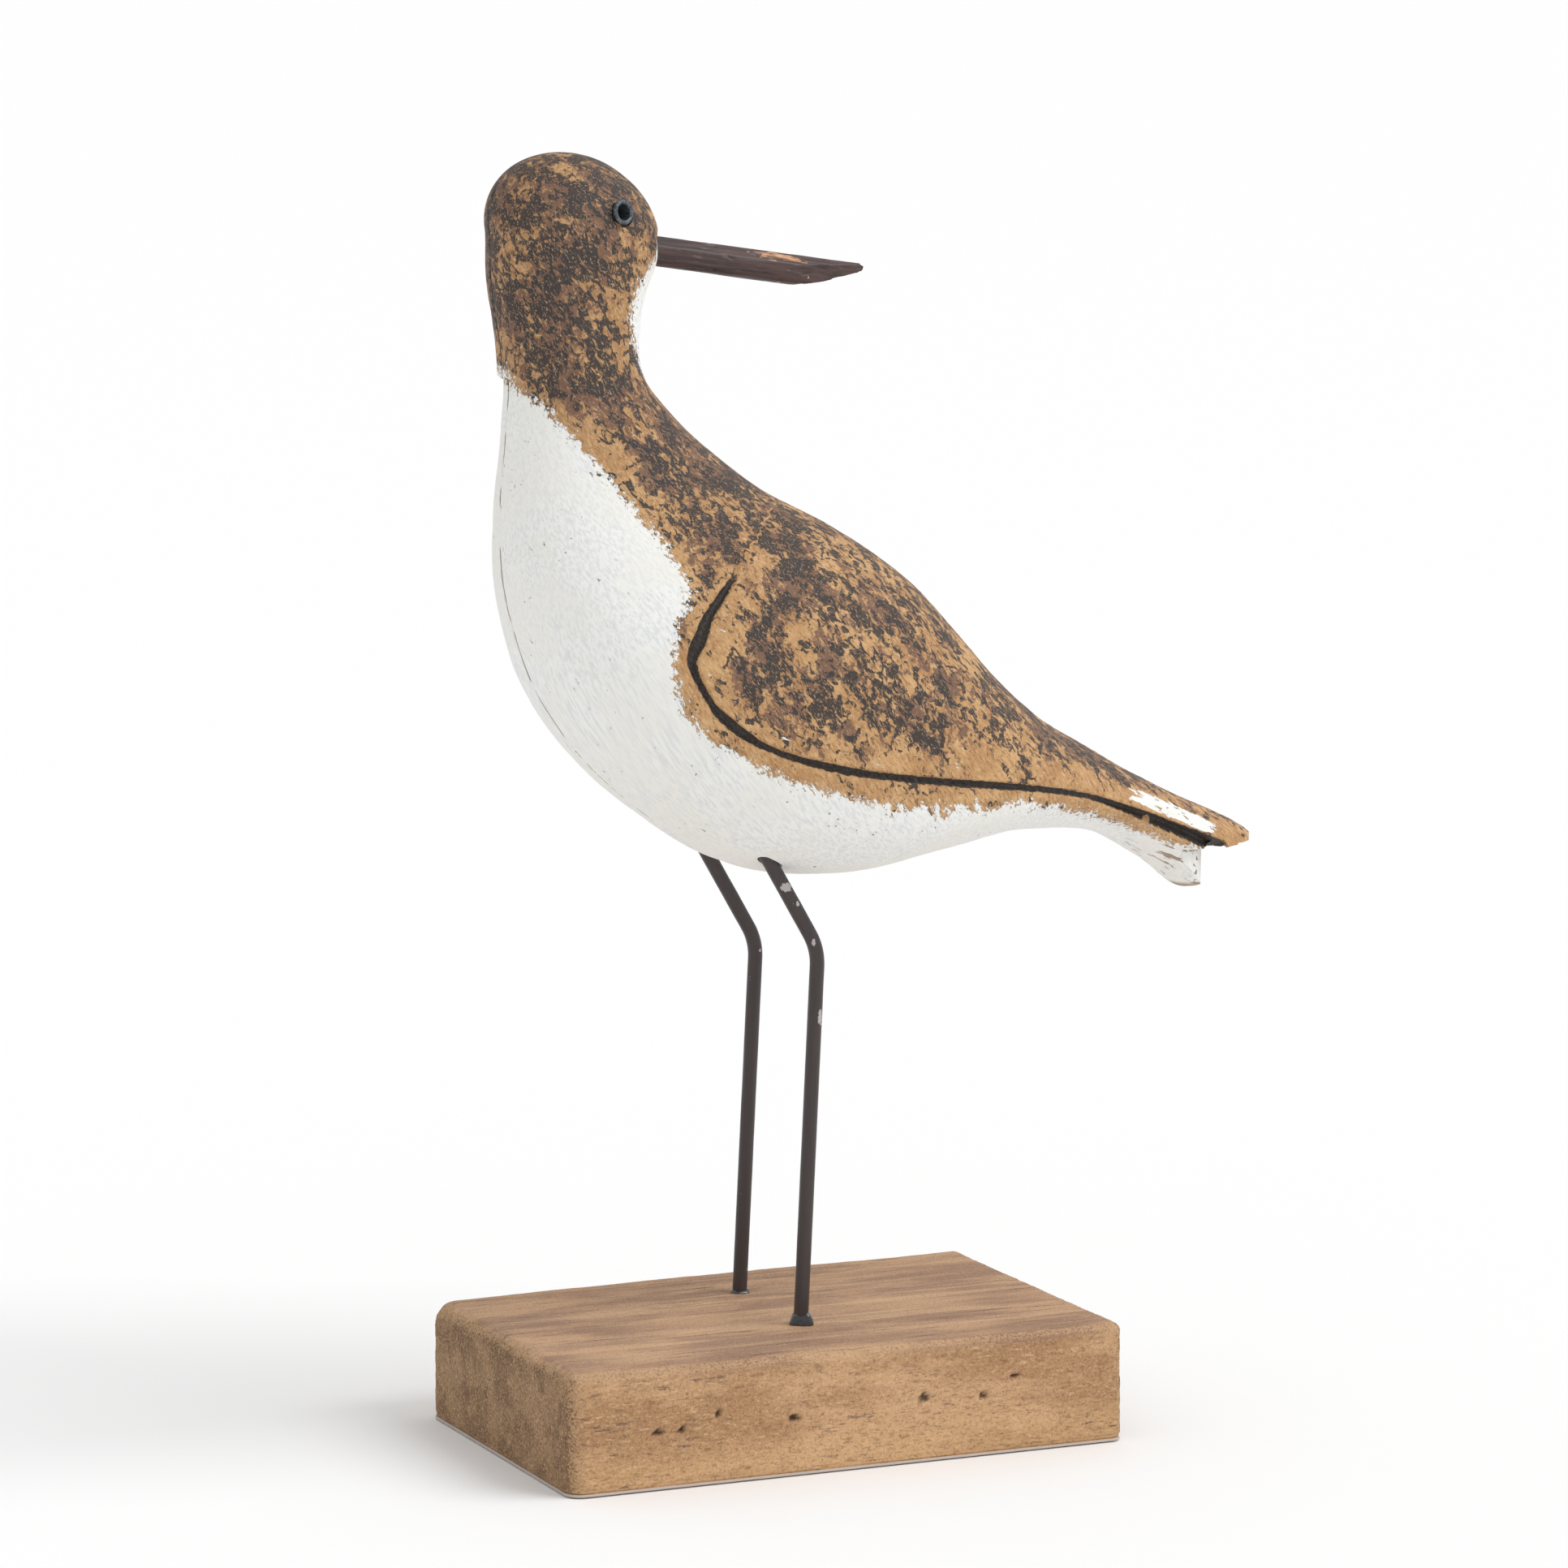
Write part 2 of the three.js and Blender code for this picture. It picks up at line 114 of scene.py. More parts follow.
GROOVE_DEPTH, GROOVE_TAIL_DEPTH = 0.9, 2.0
GROOVE_REACH = 12.0

# Tail
NOTCH_X, NOTCH_Z = 96.3, 113.9
TAIL_CORNER_RADIUS = 3.4
TAIL_BOTTOM_Z = 105.0
TAIL_PLAN = {"end_x": 96.3, "half_width": 8.6, "length": 8.5}
WING_TIP_PLAN = {"end_x": 107.6, "half_width": 6.4, "length": 6.0}

# Beak
BEAK_RADIUS, BEAK_LENGTH, BEAK_DEPTH_IN_HEAD = 3.0, 43.0, 9.0
BEAK_ROOT = (-22.6, 237.8)
BEAK_DROOP = 0.145

# Eyes
EYE_X, EYE_Z = -36.6, 246.4
EYE_TURN, EYE_LIFT = math.radians(22), math.radians(8)
FLANGE_RADIUS, ROLL_RADIUS, BARREL_RADIUS, BARREL_LENGTH = 2.5, 0.46, 1.75, 3.0

GAP = 0.35


# Noise and curves

LATTICE = 64
_rng = np.random.default_rng(SEED)
_lattice = _rng.random((LATTICE, LATTICE, LATTICE))


def value_noise(points, scale, offset=0.0):
    """Smooth noise from -1 to 1 at each point. scale may be one number or one for each axis."""
    p = np.asarray(points) * scale + 100.0 + offset
    base = np.floor(p).astype(int)
    f = p - base
    f = f * f * (3 - 2 * f)
    total = np.zeros(len(p))
    for corner in range(8):
        step = np.array([corner & 1, corner >> 1 & 1, corner >> 2 & 1])
        index = (base + step) % LATTICE
        weight = np.prod(np.where(step == 1, f, 1 - f), axis=1)
        total += weight * _lattice[index[:, 0], index[:, 1], index[:, 2]]
    return total * 2 - 1


def fractal_noise(points, scale, octaves=3, offset=0.0):
    total = np.zeros(len(points))
    for octave in range(octaves):
        total += value_noise(points, np.asarray(scale) * 2.0 ** octave, offset + 7.3 * octave) / 2 ** octave
    return total


def smoothstep(low, high, value):
    t = np.clip((value - low) / (high - low), 0, 1)
    return t * t * (3 - 2 * t)


def catmull_rom(points, t):
    """Centripetal Catmull-Rom through the points, at each t from 0 to 1."""
    n = len(points)
    first = 2 * points[0] - points[1]
    last = 2 * points[-1] - points[-2]
    padded = np.vstack([first, points, last])
    at = np.clip(np.asarray(t) * (n - 1), 0, n - 1)
    i = np.minimum(at.astype(int), n - 2)
    w = (at - i)[:, None]
    p0, p1, p2, p3 = (padded[i + k] for k in range(4))
    gap = lambda a, b: np.maximum(np.sum((a - b) ** 2, axis=1) ** 0.25, 1e-4)[:, None]
    d0, d1, d2 = gap(p0, p1), gap(p1, p2), gap(p2, p3)
    t1 = ((p1 - p0) / d0 - (p2 - p0) / (d0 + d1) + (p2 - p1) / d1) * d1
    t2 = ((p2 - p1) / d1 - (p3 - p1) / (d1 + d2) + (p3 - p2) / d2) * d1
    return p1 + t1 * w + (3 * p2 - 3 * p1 - 2 * t1 - t2) * w ** 2 + (2 * p1 - 2 * p2 + t1 + t2) * w ** 3


def distance_to_line(points, line, closed=False):
    """The distance of each 2-D point to a polyline."""
    ends = np.roll(line, -1, axis=0) if closed else line[1:]
    starts = line if closed else line[:-1]
    best = np.full(len(points), 1e9)
    for a, b in zip(starts, ends):
        ab = b - a
        t = np.clip((points - a) @ ab / (ab @ ab), 0, 1)
        best = np.minimum(best, np.linalg.norm(points - a - t[:, None] * ab, axis=1))
    return best


def inside(points, outline):
    """Whether each 2-D point lies within a closed outline."""
    x, y = points[:, 0], points[:, 1]
    result = np.zeros(len(points), bool)
    for (ax, ay), (bx, by) in zip(outline, np.roll(outline, -1, axis=0)):
        if ay == by:
            continue
        crosses = ((ay > y) != (by > y)) & (x < (bx - ax) * (y - ay) / (by - ay) + ax)
        result ^= crosses
    return result


# Meshes

def new_object(name, mesh):
    made = bpy.data.objects.new(name, mesh)
    bpy.context.scene.collection.objects.link(made)
    return made


def mesh_from(name, points, faces):
    """A mesh in metres from points in millimetres."""
    mesh = bpy.data.meshes.new(name)
    mesh.from_pydata((np.asarray(points) * MM).tolist(), [], faces)
    mesh.update()
    return mesh


def ring_faces(rings, sides):
    index = np.arange(rings * sides).reshape(rings, sides)
    a, b = index[:-1], index[1:]
    quads = np.stack([a, np.roll(a, -1, axis=1), np.roll(b, -1, axis=1), b], axis=-1)
    return quads.reshape(-1, 4).tolist()


def ring_mesh(name, rings, tips=(None, None)):
    """A closed mesh from rings of points that all turn the same way."""
    rings = np.asarray(rings)
    count, sides = rings.shape[:2]
    points = rings.reshape(-1, 3).tolist()
    faces = ring_faces(count, sides)
    for end, tip in zip((0, count - 1), tips):
        centre = rings[end].mean(axis=0) if tip is None else tip
        points.append(list(centre))
        for i in range(sides):
            pair = (end * sides + i, end * sides + (i + 1) % sides)
            faces.append((len(points) - 1, *(reversed(pair) if end == 0 else pair)))
    mesh = mesh_from(name, points, faces)
    fix_normals(mesh)
    return mesh


def fix_normals(mesh):
    bm = bmesh.new()
    bm.from_mesh(mesh)
    bmesh.ops.recalc_face_normals(bm, faces=bm.faces)
    bm.to_mesh(mesh)
    bm.free()


def points_of(mesh):
    points = np.empty(len(mesh.vertices) * 3)
    mesh.vertices.foreach_get("co", points)
    return points.reshape(-1, 3) / MM


def normals_of(mesh):
    normals = np.empty(len(mesh.vertices) * 3)
    mesh.vertices.foreach_get("normal", normals)
    return normals.reshape(-1, 3)


def move_points(mesh, points):
    mesh.vertices.foreach_set("co", (np.asarray(points) * MM).ravel())
    mesh.update()


def add_attribute(mesh, name, values):
    layer = mesh.attributes.new(name, "FLOAT", "POINT")
    layer.data.foreach_set("value", np.asarray(values, float))


def shade_by_angle(mesh, degrees):
    bm = bmesh.new()
    bm.from_mesh(mesh)
    limit = math.radians(degrees)
    for face in bm.faces:
        face.smooth = True
    for edge in bm.edges:
        edge.smooth = len(edge.link_faces) == 2 and edge.calc_face_angle(0.0) < limit
    bm.to_mesh(mesh)
    bm.free()


def extruded(name, outline, low, high, axis):
    """A prism from a 2-D outline: axis "y" takes it as x, z and axis "z" as x, y."""
    outline = np.asarray(outline)
    rings = []
    for level in (low, high):
        if axis == "y":
            rings.append([(x, level, z) for x, z in outline])
        else:
            rings.append([(x, y, level) for x, y in outline])
    points = np.array(rings).reshape(-1, 3)
    n = len(outline)
    faces = ring_faces(2, n) + [list(range(n)), list(range(n, 2 * n))]
    mesh = mesh_from(name, points, faces)
    fix_normals(mesh)
    return mesh


def peg_mesh(name, start, end, radius, sides=48):
    start, end = Vector(start), Vector(end)
    along = (end - start).normalized()
    side = along.orthogonal().normalized()
    other = along.cross(side)
    rings = []
    for at in (start, end):
        angles = [2 * math.pi * i / sides for i in range(sides)]
        rings.append([tuple(at + radius * (math.cos(a) * side + math.sin(a) * other)) for a in angles])
    return ring_mesh(name, rings)


def cut_away(mesh, cutters):
    """The mesh with each cutter's space taken out of it."""
    holder = new_object("cut_holder", mesh)
    for cutter in cutters:
        tool = new_object("cut_tool", cutter)
        modifier = holder.modifiers.new("cut", "BOOLEAN")
        modifier.operation = "DIFFERENCE"
        modifier.solver = "MANIFOLD"
        modifier.object = tool
    graph = bpy.context.evaluated_depsgraph_get()
    result = bpy.data.meshes.new_from_object(holder.evaluated_get(graph))
    for modifier in list(holder.modifiers):
        bpy.data.objects.remove(modifier.object)
        holder.modifiers.remove(modifier)
    bpy.data.objects.remove(holder)
    return result


# Materials

def srgb(*values):
    """A picture colour, 0 to 255, as Blender's linear colour."""
    linear = [(v / 255 / 12.92) if v / 255 <= 0.04045 else ((v / 255 + 0.055) / 1.055) ** 2.4 for v in values]
    return (*linear, 1.0)


class Paint:
    """A short way to write a material's nodes. Coordinates are millimetres in the part's frame."""

    def __init__(self, name):
        self.material = bpy.data.materials.new(name)
        self.material.use_nodes = True
        self.tree = self.material.node_tree
        self.tree.nodes.clear()
        self.shader = self.add("ShaderNodeBsdfPrincipled")
        output = self.add("ShaderNodeOutputMaterial")
        self.link(self.shader.outputs[0], output.inputs["Surface"])
        here = self.add("ShaderNodeTexCoord")
        self.place = self.vector("SCALE", here.outputs["Object"], scale=1 / MM)

    def add(self, kind, **settings):
        node = self.tree.nodes.new(kind)
        for key, value in settings.items():
            setattr(node, key, value)
        return node

    def link(self, source, target):
        self.tree.links.new(source, target)

    def put(self, value, socket):
        if isinstance(value, bpy.types.NodeSocket):
            self.link(value, socket)
        else:
            socket.default_value = value

    def vector(self, operation, a, b=None, scale=None):
        node = self.add("ShaderNodeVectorMath", operation=operation)
        self.put(a, node.inputs[0])
        if b is not None:
            self.put(b, node.inputs[1])
        if scale is not None:
            self.put(scale, node.inputs["Scale"])
        return node.outputs[0]

    def math(self, operation, a, b=0.0, clamp=False):
        node = self.add("ShaderNodeMath", operation=operation, use_clamp=clamp)
        self.put(a, node.inputs[0])
        self.put(b, node.inputs[1])
        return node.outputs[0]

    def turned(self, angles, stretch):
        """The coordinates turned about the axes, then stretched."""
        node = self.add("ShaderNodeMapping", vector_type="TEXTURE")
        node.inputs["Rotation"].default_value = angles
        node.inputs["Scale"].default_value = stretch
        self.link(self.place, node.inputs["Vector"])
        return node.outputs[0]

    def noise(self, at, scale, detail=3.0, roughness=0.55, distortion=0.0):
        node = self.add("ShaderNodeTexNoise")
        self.put(at, node.inputs["Vector"])
        node.inputs["Scale"].default_value = scale
        node.inputs["Detail"].default_value = detail
        node.inputs["Roughness"].default_value = roughness
        node.inputs["Distortion"].default_value = distortion
        return node.outputs["Fac"]

    def cells(self, at, scale, randomness=1.0):
        node = self.add("ShaderNodeTexVoronoi")
        self.put(at, node.inputs["Vector"])
        node.inputs["Scale"].default_value = scale
        node.inputs["Randomness"].default_value = randomness
        return node.outputs["Distance"]

    def rise(self, value, low, high, bottom=0.0, top=1.0):
        """bottom below low, top above high, and a smooth rise between them."""
        node = self.add("ShaderNodeMapRange", interpolation_type="SMOOTHSTEP")
        self.put(value, node.inputs[0])
        self.put(low, node.inputs[1])
        self.put(high, node.inputs[2])
        self.put(bottom, node.inputs[3])
        self.put(top, node.inputs[4])
        return node.outputs[0]

    def mix(self, factor, a, b, blend="MIX"):
        node = self.add("ShaderNodeMix", data_type="RGBA", blend_type=blend)
        self.put(factor, node.inputs["Factor"])
        self.put(a, node.inputs[6])
        self.put(b, node.inputs[7])
        return node.outputs[2]

    def spots(self, centres_and_sizes, rag=0.35, grain=1.3):
        """A mask of ragged spots, each given by its centre and its half sizes."""
        rough = self.centred(self.noise(self.place, grain, 3, 0.6), rag * 2)
        result = None
        for centre, size in centres_and_sizes:
            away = self.vector("DIVIDE", self.vector("SUBTRACT", self.place, centre), size)
            node = self.add("ShaderNodeVectorMath", operation="LENGTH")
            self.link(away, node.inputs[0])
            mask = self.rise(self.math("ADD", node.outputs["Value"], rough), 0.9, 1.1, 1.0, 0.0)
            result = mask if result is None else self.math("MAXIMUM", result, mask)
        return result

    def attribute(self, name):
        return self.add("ShaderNodeAttribute", attribute_name=name).outputs["Fac"]

    def axes(self, at=None):
        node = self.add("ShaderNodeSeparateXYZ")
        self.link(at or self.place, node.inputs[0])
        return node.outputs

    def total(self, *values):
        result = values[0]
        for value in values[1:]:
            result = self.math("ADD", result, value)
        return result

    def product(self, *values):
        result = values[0]
        for value in values[1:]:
            result = self.math("MULTIPLY", result, value)
        return result

    def centred(self, noise, amount):
        """A noise that runs from about -amount to +amount."""
        return self.math("MULTIPLY", self.math("SUBTRACT", noise, 0.5), 2 * amount)

    def bump(self, height, distance_mm, strength=1.0, normal=None):
        node = self.add("ShaderNodeBump")
        node.inputs["Strength"].default_value = strength
        node.inputs["Distance"].default_value = distance_mm * MM
        self.put(height, node.inputs["Height"])
        if normal is not None:
            self.link(normal, node.inputs["Normal"])
        return node.outputs[0]

    def finish(self, color, roughness, normal=None, **constants):
        self.put(color, self.shader.inputs["Base Color"])
        self.put(roughness, self.shader.inputs["Roughness"])
        if normal is not None:
            self.link(normal, self.shader.inputs["Normal"])
        for key, value in constants.items():
            self.shader.inputs[key.replace("_", " ")].default_value = value
        return self.material


# The direction of the brush strokes and dabs, seen from the side
STROKE_ANGLE = math.radians(55)


def painted_wood():
    p = Paint("painted_wood")
    x, y, z = p.axes()
    white_edge = p.attribute("white_edge")
    across = p.attribute("groove_across")
    along = p.attribute("groove_along")
    strokes = p.turned((0, STROKE_ANGLE, 0), (1.6, 1, 1))
    hairs = p.turned((0, STROKE_ANGLE, 0), (3.6, 1, 1))
    head = p.rise(z, 186.0, 212.0)

    # Ochre ground with fine brush hairs in it, with painted highlights on the hairs' ridges and painted shade in the
    # hollows between them
    wash = p.noise(p.place, 0.16, 3, 0.6)
    ground = p.mix(p.rise(wash, 0.35, 0.65), srgb(184, 138, 88), srgb(206, 162, 110))
    ground = p.mix(p.product(head, 0.55), ground, srgb(170, 128, 84))
    hair_noise = p.noise(hairs, 2.0, 3, 0.7)
    fine_hairs = p.noise(hairs, 4.2, 2, 0.6)
    # Painted highlight along the raised brush hairs
    ground = p.mix(p.rise(hair_noise, 0.53, 0.64, 0, 0.6), ground, srgb(224, 188, 144))
    # Painted shade in the hollows between the brush hairs
    ground = p.mix(p.rise(hair_noise, 0.47, 0.36, 0, 0.65), ground, srgb(140, 98, 62))

    # How thickly the dabs lie: full on the head, thinner next to the white and the wing's edge
    from_white = p.rise(white_edge, -9.0, -0.5, 1.0, 0.0)
    from_groove = p.math("MAXIMUM", p.rise(across, 1.0, 10.0), p.rise(across, -0.5, -4.0))
    patches = p.noise(p.place, 0.1, 2, 0.5)
    thickness = p.total(
        p.product(from_white, 0.10),
        p.product(from_groove, 0.10),
        p.product(head, 0.035),
        p.centred(patches, 0.12),
        -0.20,
    )

    # Purple-brown patches, then near-black dabs, both broken up by fine hairs
    purple_place = p.vector("ADD", strokes, (31.0, 17.0, 5.0))
    purple_field = p.total(
        p.product(p.noise(purple_place, 0.9, 3, 0.6, 0.6), 0.55),
        p.product(p.noise(purple_place, 0.19, 2, 0.5), 0.6),
        p.product(hair_noise, 0.22),
        thickness,
    )
    purple = p.rise(purple_field, 0.66, 0.72, 0, 0.85)
    purple_tone = p.mix(p.noise(p.place, 0.45, 2), srgb(84, 58, 50), srgb(122, 86, 70))
    brown = p.mix(purple, ground, purple_tone)
    black_field = p.total(
        p.product(p.noise(strokes, 0.8, 2, 0.5, 0.7), 0.75),
        p.product(p.noise(strokes, 0.24, 1, 0.5), 0.35),
        p.product(hair_noise, 0.30),
        p.product(fine_hairs, 0.12),
        thickness,
    )
    black = p.rise(black_field, 0.745, 0.785, 0, 0.96)
    black_tone = p.mix(p.rise(fine_hairs, 0.45, 0.65), srgb(46, 40, 39), srgb(74, 62, 56))
    brown = p.mix(black, brown, black_tone)
    # Painted highlights: small bright flecks where the grainy paint catches the light
    fleck_highlights = p.rise(p.math("ADD", fine_hairs, p.centred(hair_noise, 0.1)), 0.6, 0.66, 0, 0.6)
    brown = p.mix(fleck_highlights, brown, srgb(208, 172, 130))

    # Darker joins: the glue line down the nape and breast
    seam_waver = p.centred(p.noise(p.place, 0.25, 2), 0.2)
    seam = p.rise(p.math("ADD", p.attribute("seam_reach"), seam_waver), 0.14, 0.36, 1.0, 0.0)
    broken = p.rise(p.noise(p.turned((0, 0, 0), (1, 1, 5)), 0.45, 2), 0.42, 0.5)
    brown = p.mix(p.product(seam, 0.8), brown, srgb(46, 38, 34))

    # The ochre stain around the beak
    stain = p.rise(p.math("ADD", p.attribute("beak_reach"), p.centred(p.noise(p.place, 1.0, 2), 1.0)), 3.8, 4.1, 1, 0)
    brown = p.mix(p.product(stain, 0.8), brown, srgb(196, 132, 66))

    # White, brushed on, with a ragged dry edge and small chips
    edge_wave = p.centred(p.noise(strokes, 0.25, 2), 1.6)
    edge_crumbs = p.centred(p.noise(strokes, 1.5, 4, 0.72), 4.6)
    dry_zone = p.product(p.rise(x, 4.0, 16.0), p.rise(x, 40.0, 60.0, 1.0, 0.0), p.rise(z, 140.0, 150.0, 1, 0))
    dry = p.total(white_edge, edge_wave, edge_crumbs, p.product(dry_zone, p.centred(p.noise(hairs, 0.9, 3, 0.7), 6.0)))
    white_mask = p.rise(dry, -0.15, 0.2)
    sliver = p.total(
        p.rise(across, 1.4, 2.2), p.rise(across, 5.2, 4.0), p.rise(along, 0.80, 0.86), p.rise(along, 0.995, 0.97), -3.0
    )
    sliver_streaks = p.noise(p.turned((0, math.radians(24), 0), (9.0, 1, 1)), 1.1, 3, 0.6)
    sliver_mask = p.rise(p.math("ADD", sliver, p.centred(sliver_streaks, 1.3)), 0.45, 0.6)
    white_mask = p.math("MAXIMUM", white_mask, sliver_mask)
    brushed = p.noise(p.turned((0, STROKE_ANGLE, 0), (10.0, 1, 1)), 1.9, 3, 0.65)
    white = p.mix(p.rise(brushed, 0.34, 0.6, 0.25, 1.0), srgb(216, 219, 221), srgb(242, 242, 238))
    warm = p.rise(p.noise(p.place, 0.05, 2), 0.45, 0.6, 0, 0.5)
    white = p.mix(warm, white, srgb(238, 236, 228))
    chip_groups = p.rise(p.noise(p.place, 0.09, 2, 0.6), 0.52, 0.62)
    chip_marks = p.rise(p.noise(strokes, 1.0, 3, 0.6), 0.665, 0.69)
    chips = p.product(chip_groups, chip_marks)
    tail_scratches = p.product(
        p.rise(x, 70.0, 88.0), p.rise(p.noise(p.turned((0, math.radians(20), 0), (4, 1, 1)), 0.9, 3, 0.6), 0.6, 0.64)
    )
    chips = p.math("MAXIMUM", chips, tail_scratches)
    white = p.mix(p.product(chips, 0.9), white, srgb(146, 116, 86))
    white = p.mix(p.product(seam, broken, 0.85), white, srgb(112, 90, 70))
    color = p.mix(white_mask, brown, white)

    # The wing's edge, a black line in the groove
    rag = p.centred(p.noise(strokes, 1.0, 3, 0.6), 0.45)
    line = p.math("SUBTRACT", p.math("ADD", p.math("ABSOLUTE", across), rag), p.attribute("groove_width"))
    line_mask = p.product(p.rise(line, -0.1, 0.1, 1.0, 0.0), p.rise(along, 0.0, 0.01))
    nick = p.spots([((77.4, -13.4, 121.6), (1.4, 3.0, 0.8))], 0.2)
    line_mask = p.product(line_mask, p.math("SUBTRACT", 1.0, nick))
    line_tone = p.mix(p.rise(fine_hairs, 0.4, 0.7), srgb(40, 34, 31), srgb(78, 68, 60))
    color = p.mix(line_mask, color, line_tone)
    raw = p.product(p.rise(z, 106.6, 105.4), p.rise(x, 84.0, 87.0))
    color = p.mix(p.product(raw, 0.9), color, srgb(150, 126, 92))

    rough = p.rise(white_mask, 0, 1, 0.58, 0.7)
    brown_relief = p.total(p.product(hair_noise, 1.0), p.product(fine_hairs, 0.5), p.product(black, 0.25))
    white_relief = p.total(p.product(brushed, 0.3), p.product(chips, -0.5), 1.0)
    relief = p.math("ADD", p.product(brown_relief, p.math("SUBTRACT", 1.0, white_mask)),
                    p.product(white_relief, white_mask))
    normal = p.bump(relief, 0.35, 0.9)
    return p.finish(color, rough, normal)


def block_wood():
    p = Paint("block_wood")
    x, y, z = p.axes()
    height = BLOCK_HEIGHT
    long_grain = p.turned((0, 0, 0), (30.0, 1, 1))
    fibre_place = p.turned((0, 0, 0), (3.2, 1, 1))
    top = p.rise(z, height - 3.2, height - 0.9)
    end = p.rise(p.math("ABSOLUTE", x), BLOCK_LENGTH / 2 - 2.6, BLOCK_LENGTH / 2 - 0.6)
    grains = p.noise(p.place, 2.2, 3, 0.8)
    clouds = p.noise(p.turned((0, 0, 0), (3, 1, 1)), 0.09, 3, 0.55)
    fibres = p.noise(fibre_place, 1.5, 4, 0.7, 0.5)

    # Sides: honey-brown, lighter below, with short dark fibres
    side = p.mix(p.rise(clouds, 0.38, 0.62), srgb(176, 134, 94), srgb(206, 164, 122))
    side = p.mix(p.product(p.rise(z, 11.0, 3.0), 0.55), side, srgb(212, 170, 122))
    side = p.mix(p.rise(fibres, 0.53, 0.66, 0, 0.65), side, srgb(136, 100, 68))
    side = p.mix(p.rise(fibres, 0.45, 0.33, 0, 0.6), side, srgb(226, 188, 146))
    bands = p.noise(p.turned((0, 0, 0), (9, 1, 1)), 0.28, 3, 0.6)
    stroke_rows = p.product(p.rise(p.noise(p.turned((0, 0, 0), (4.5, 1, 1)), 1.1, 3, 0.65), 0.60, 0.66),
                            p.rise(bands, 0.46, 0.60))
    side = p.mix(p.product(stroke_rows, 0.75), side, srgb(96, 76, 72))

    # Top: greyer brown, with long dark streaks along the grain
    board = p.mix(p.rise(clouds, 0.36, 0.64), srgb(160, 124, 98), srgb(198, 158, 122))
    bright = p.rise(p.noise(long_grain, 0.35, 3, 0.6), 0.5, 0.68, 0, 0.55)
    board = p.mix(bright, board, srgb(214, 176, 138))
    thin = p.rise(p.noise(long_grain, 1.15, 3, 0.7), 0.56, 0.68, 0, 0.75)
    board = p.mix(thin, board, srgb(116, 90, 80))
    strong = p.product(p.rise(p.noise(long_grain, 0.9, 3, 0.75), 0.62, 0.68), p.rise(fibres, 0.36, 0.5))
    board = p.mix(p.product(strong, 0.8), board, srgb(86, 68, 66))
    color = p.mix(top, side, board)

    # Ends: coarse and sandy, with dark clouds
    murk = p.noise(p.place, 0.13, 3, 0.6)
    end_tone = p.mix(p.rise(murk, 0.38, 0.6), srgb(116, 86, 56), srgb(158, 124, 88))
    color = p.mix(p.product(end, 0.85), color, end_tone)
    specks = p.total(p.product(end, 0.5), 0.5)
    color = p.mix(p.product(p.rise(grains, 0.52, 0.66), specks, 0.9), color, srgb(88, 64, 44))
    color = p.mix(p.product(p.rise(grains, 0.46, 0.34), specks, 0.8), color, srgb(222, 186, 146))

    # Arrises rubbed lighter, pits dark, and a thin pale band along the block's foot
    rubbed = p.rise(p.attribute("arris"), 0.2, 0.9)
    color = p.mix(p.product(rubbed, p.rise(grains, 0.62, 0.42), 0.6), color, srgb(206, 168, 126))
    color = p.mix(p.product(p.attribute("pit"), 0.92), color, srgb(44, 34, 26))
    color = p.mix(p.rise(z, PALE_BAND_TOP + 0.1, PALE_BAND_TOP - 0.05), color, srgb(196, 182, 172))
    relief = p.total(p.product(fibres, 0.7), p.product(grains, 0.9), p.product(thin, -0.3))
    normal = p.bump(relief, 0.35, 0.8)
    return p.finish(color, 0.78, normal)


def black_wire():
    p = Paint("black_wire")
    mottle = p.noise(p.turned((0, 0, 0), (1, 1, 9)), 0.8, 3)
    color = p.mix(mottle, srgb(40, 32, 31), srgb(66, 55, 53))
    scratches = p.rise(p.noise(p.turned((0, 0, 0), (1, 1, 5)), 1.3, 2, 0.5), 0.755, 0.77)
    chips = p.spots([
        ((3.4, -15.4, 86.5), (0.5, 0.9, 1.5)), ((2.0, -15.4, 101.5), (0.35, 0.6, 0.7)),
        ((-1.5, -15.6, 109.5), (0.4, 0.7, 0.5)), ((-4.0, -15.4, 113.0), (1.3, 0.8, 0.9)),
        ((4.5, 16.4, 95.0), (0.3, 0.5, 0.4)), ((0.2, 16.5, 45.0), (0.2, 0.5, 0.4)),
    ], 0.5, 1.8)
    marks = p.math("MAXIMUM", scratches, chips)
    color = p.mix(p.product(marks, 0.85), color, srgb(186, 180, 178))
    rough = p.rise(mottle, 0.3, 0.7, 0.34, 0.5)
    normal = p.bump(p.total(mottle, p.product(marks, -0.6)), 0.1, 0.5)
    return p.finish(color, rough, normal, Specular_IOR_Level=0.55)


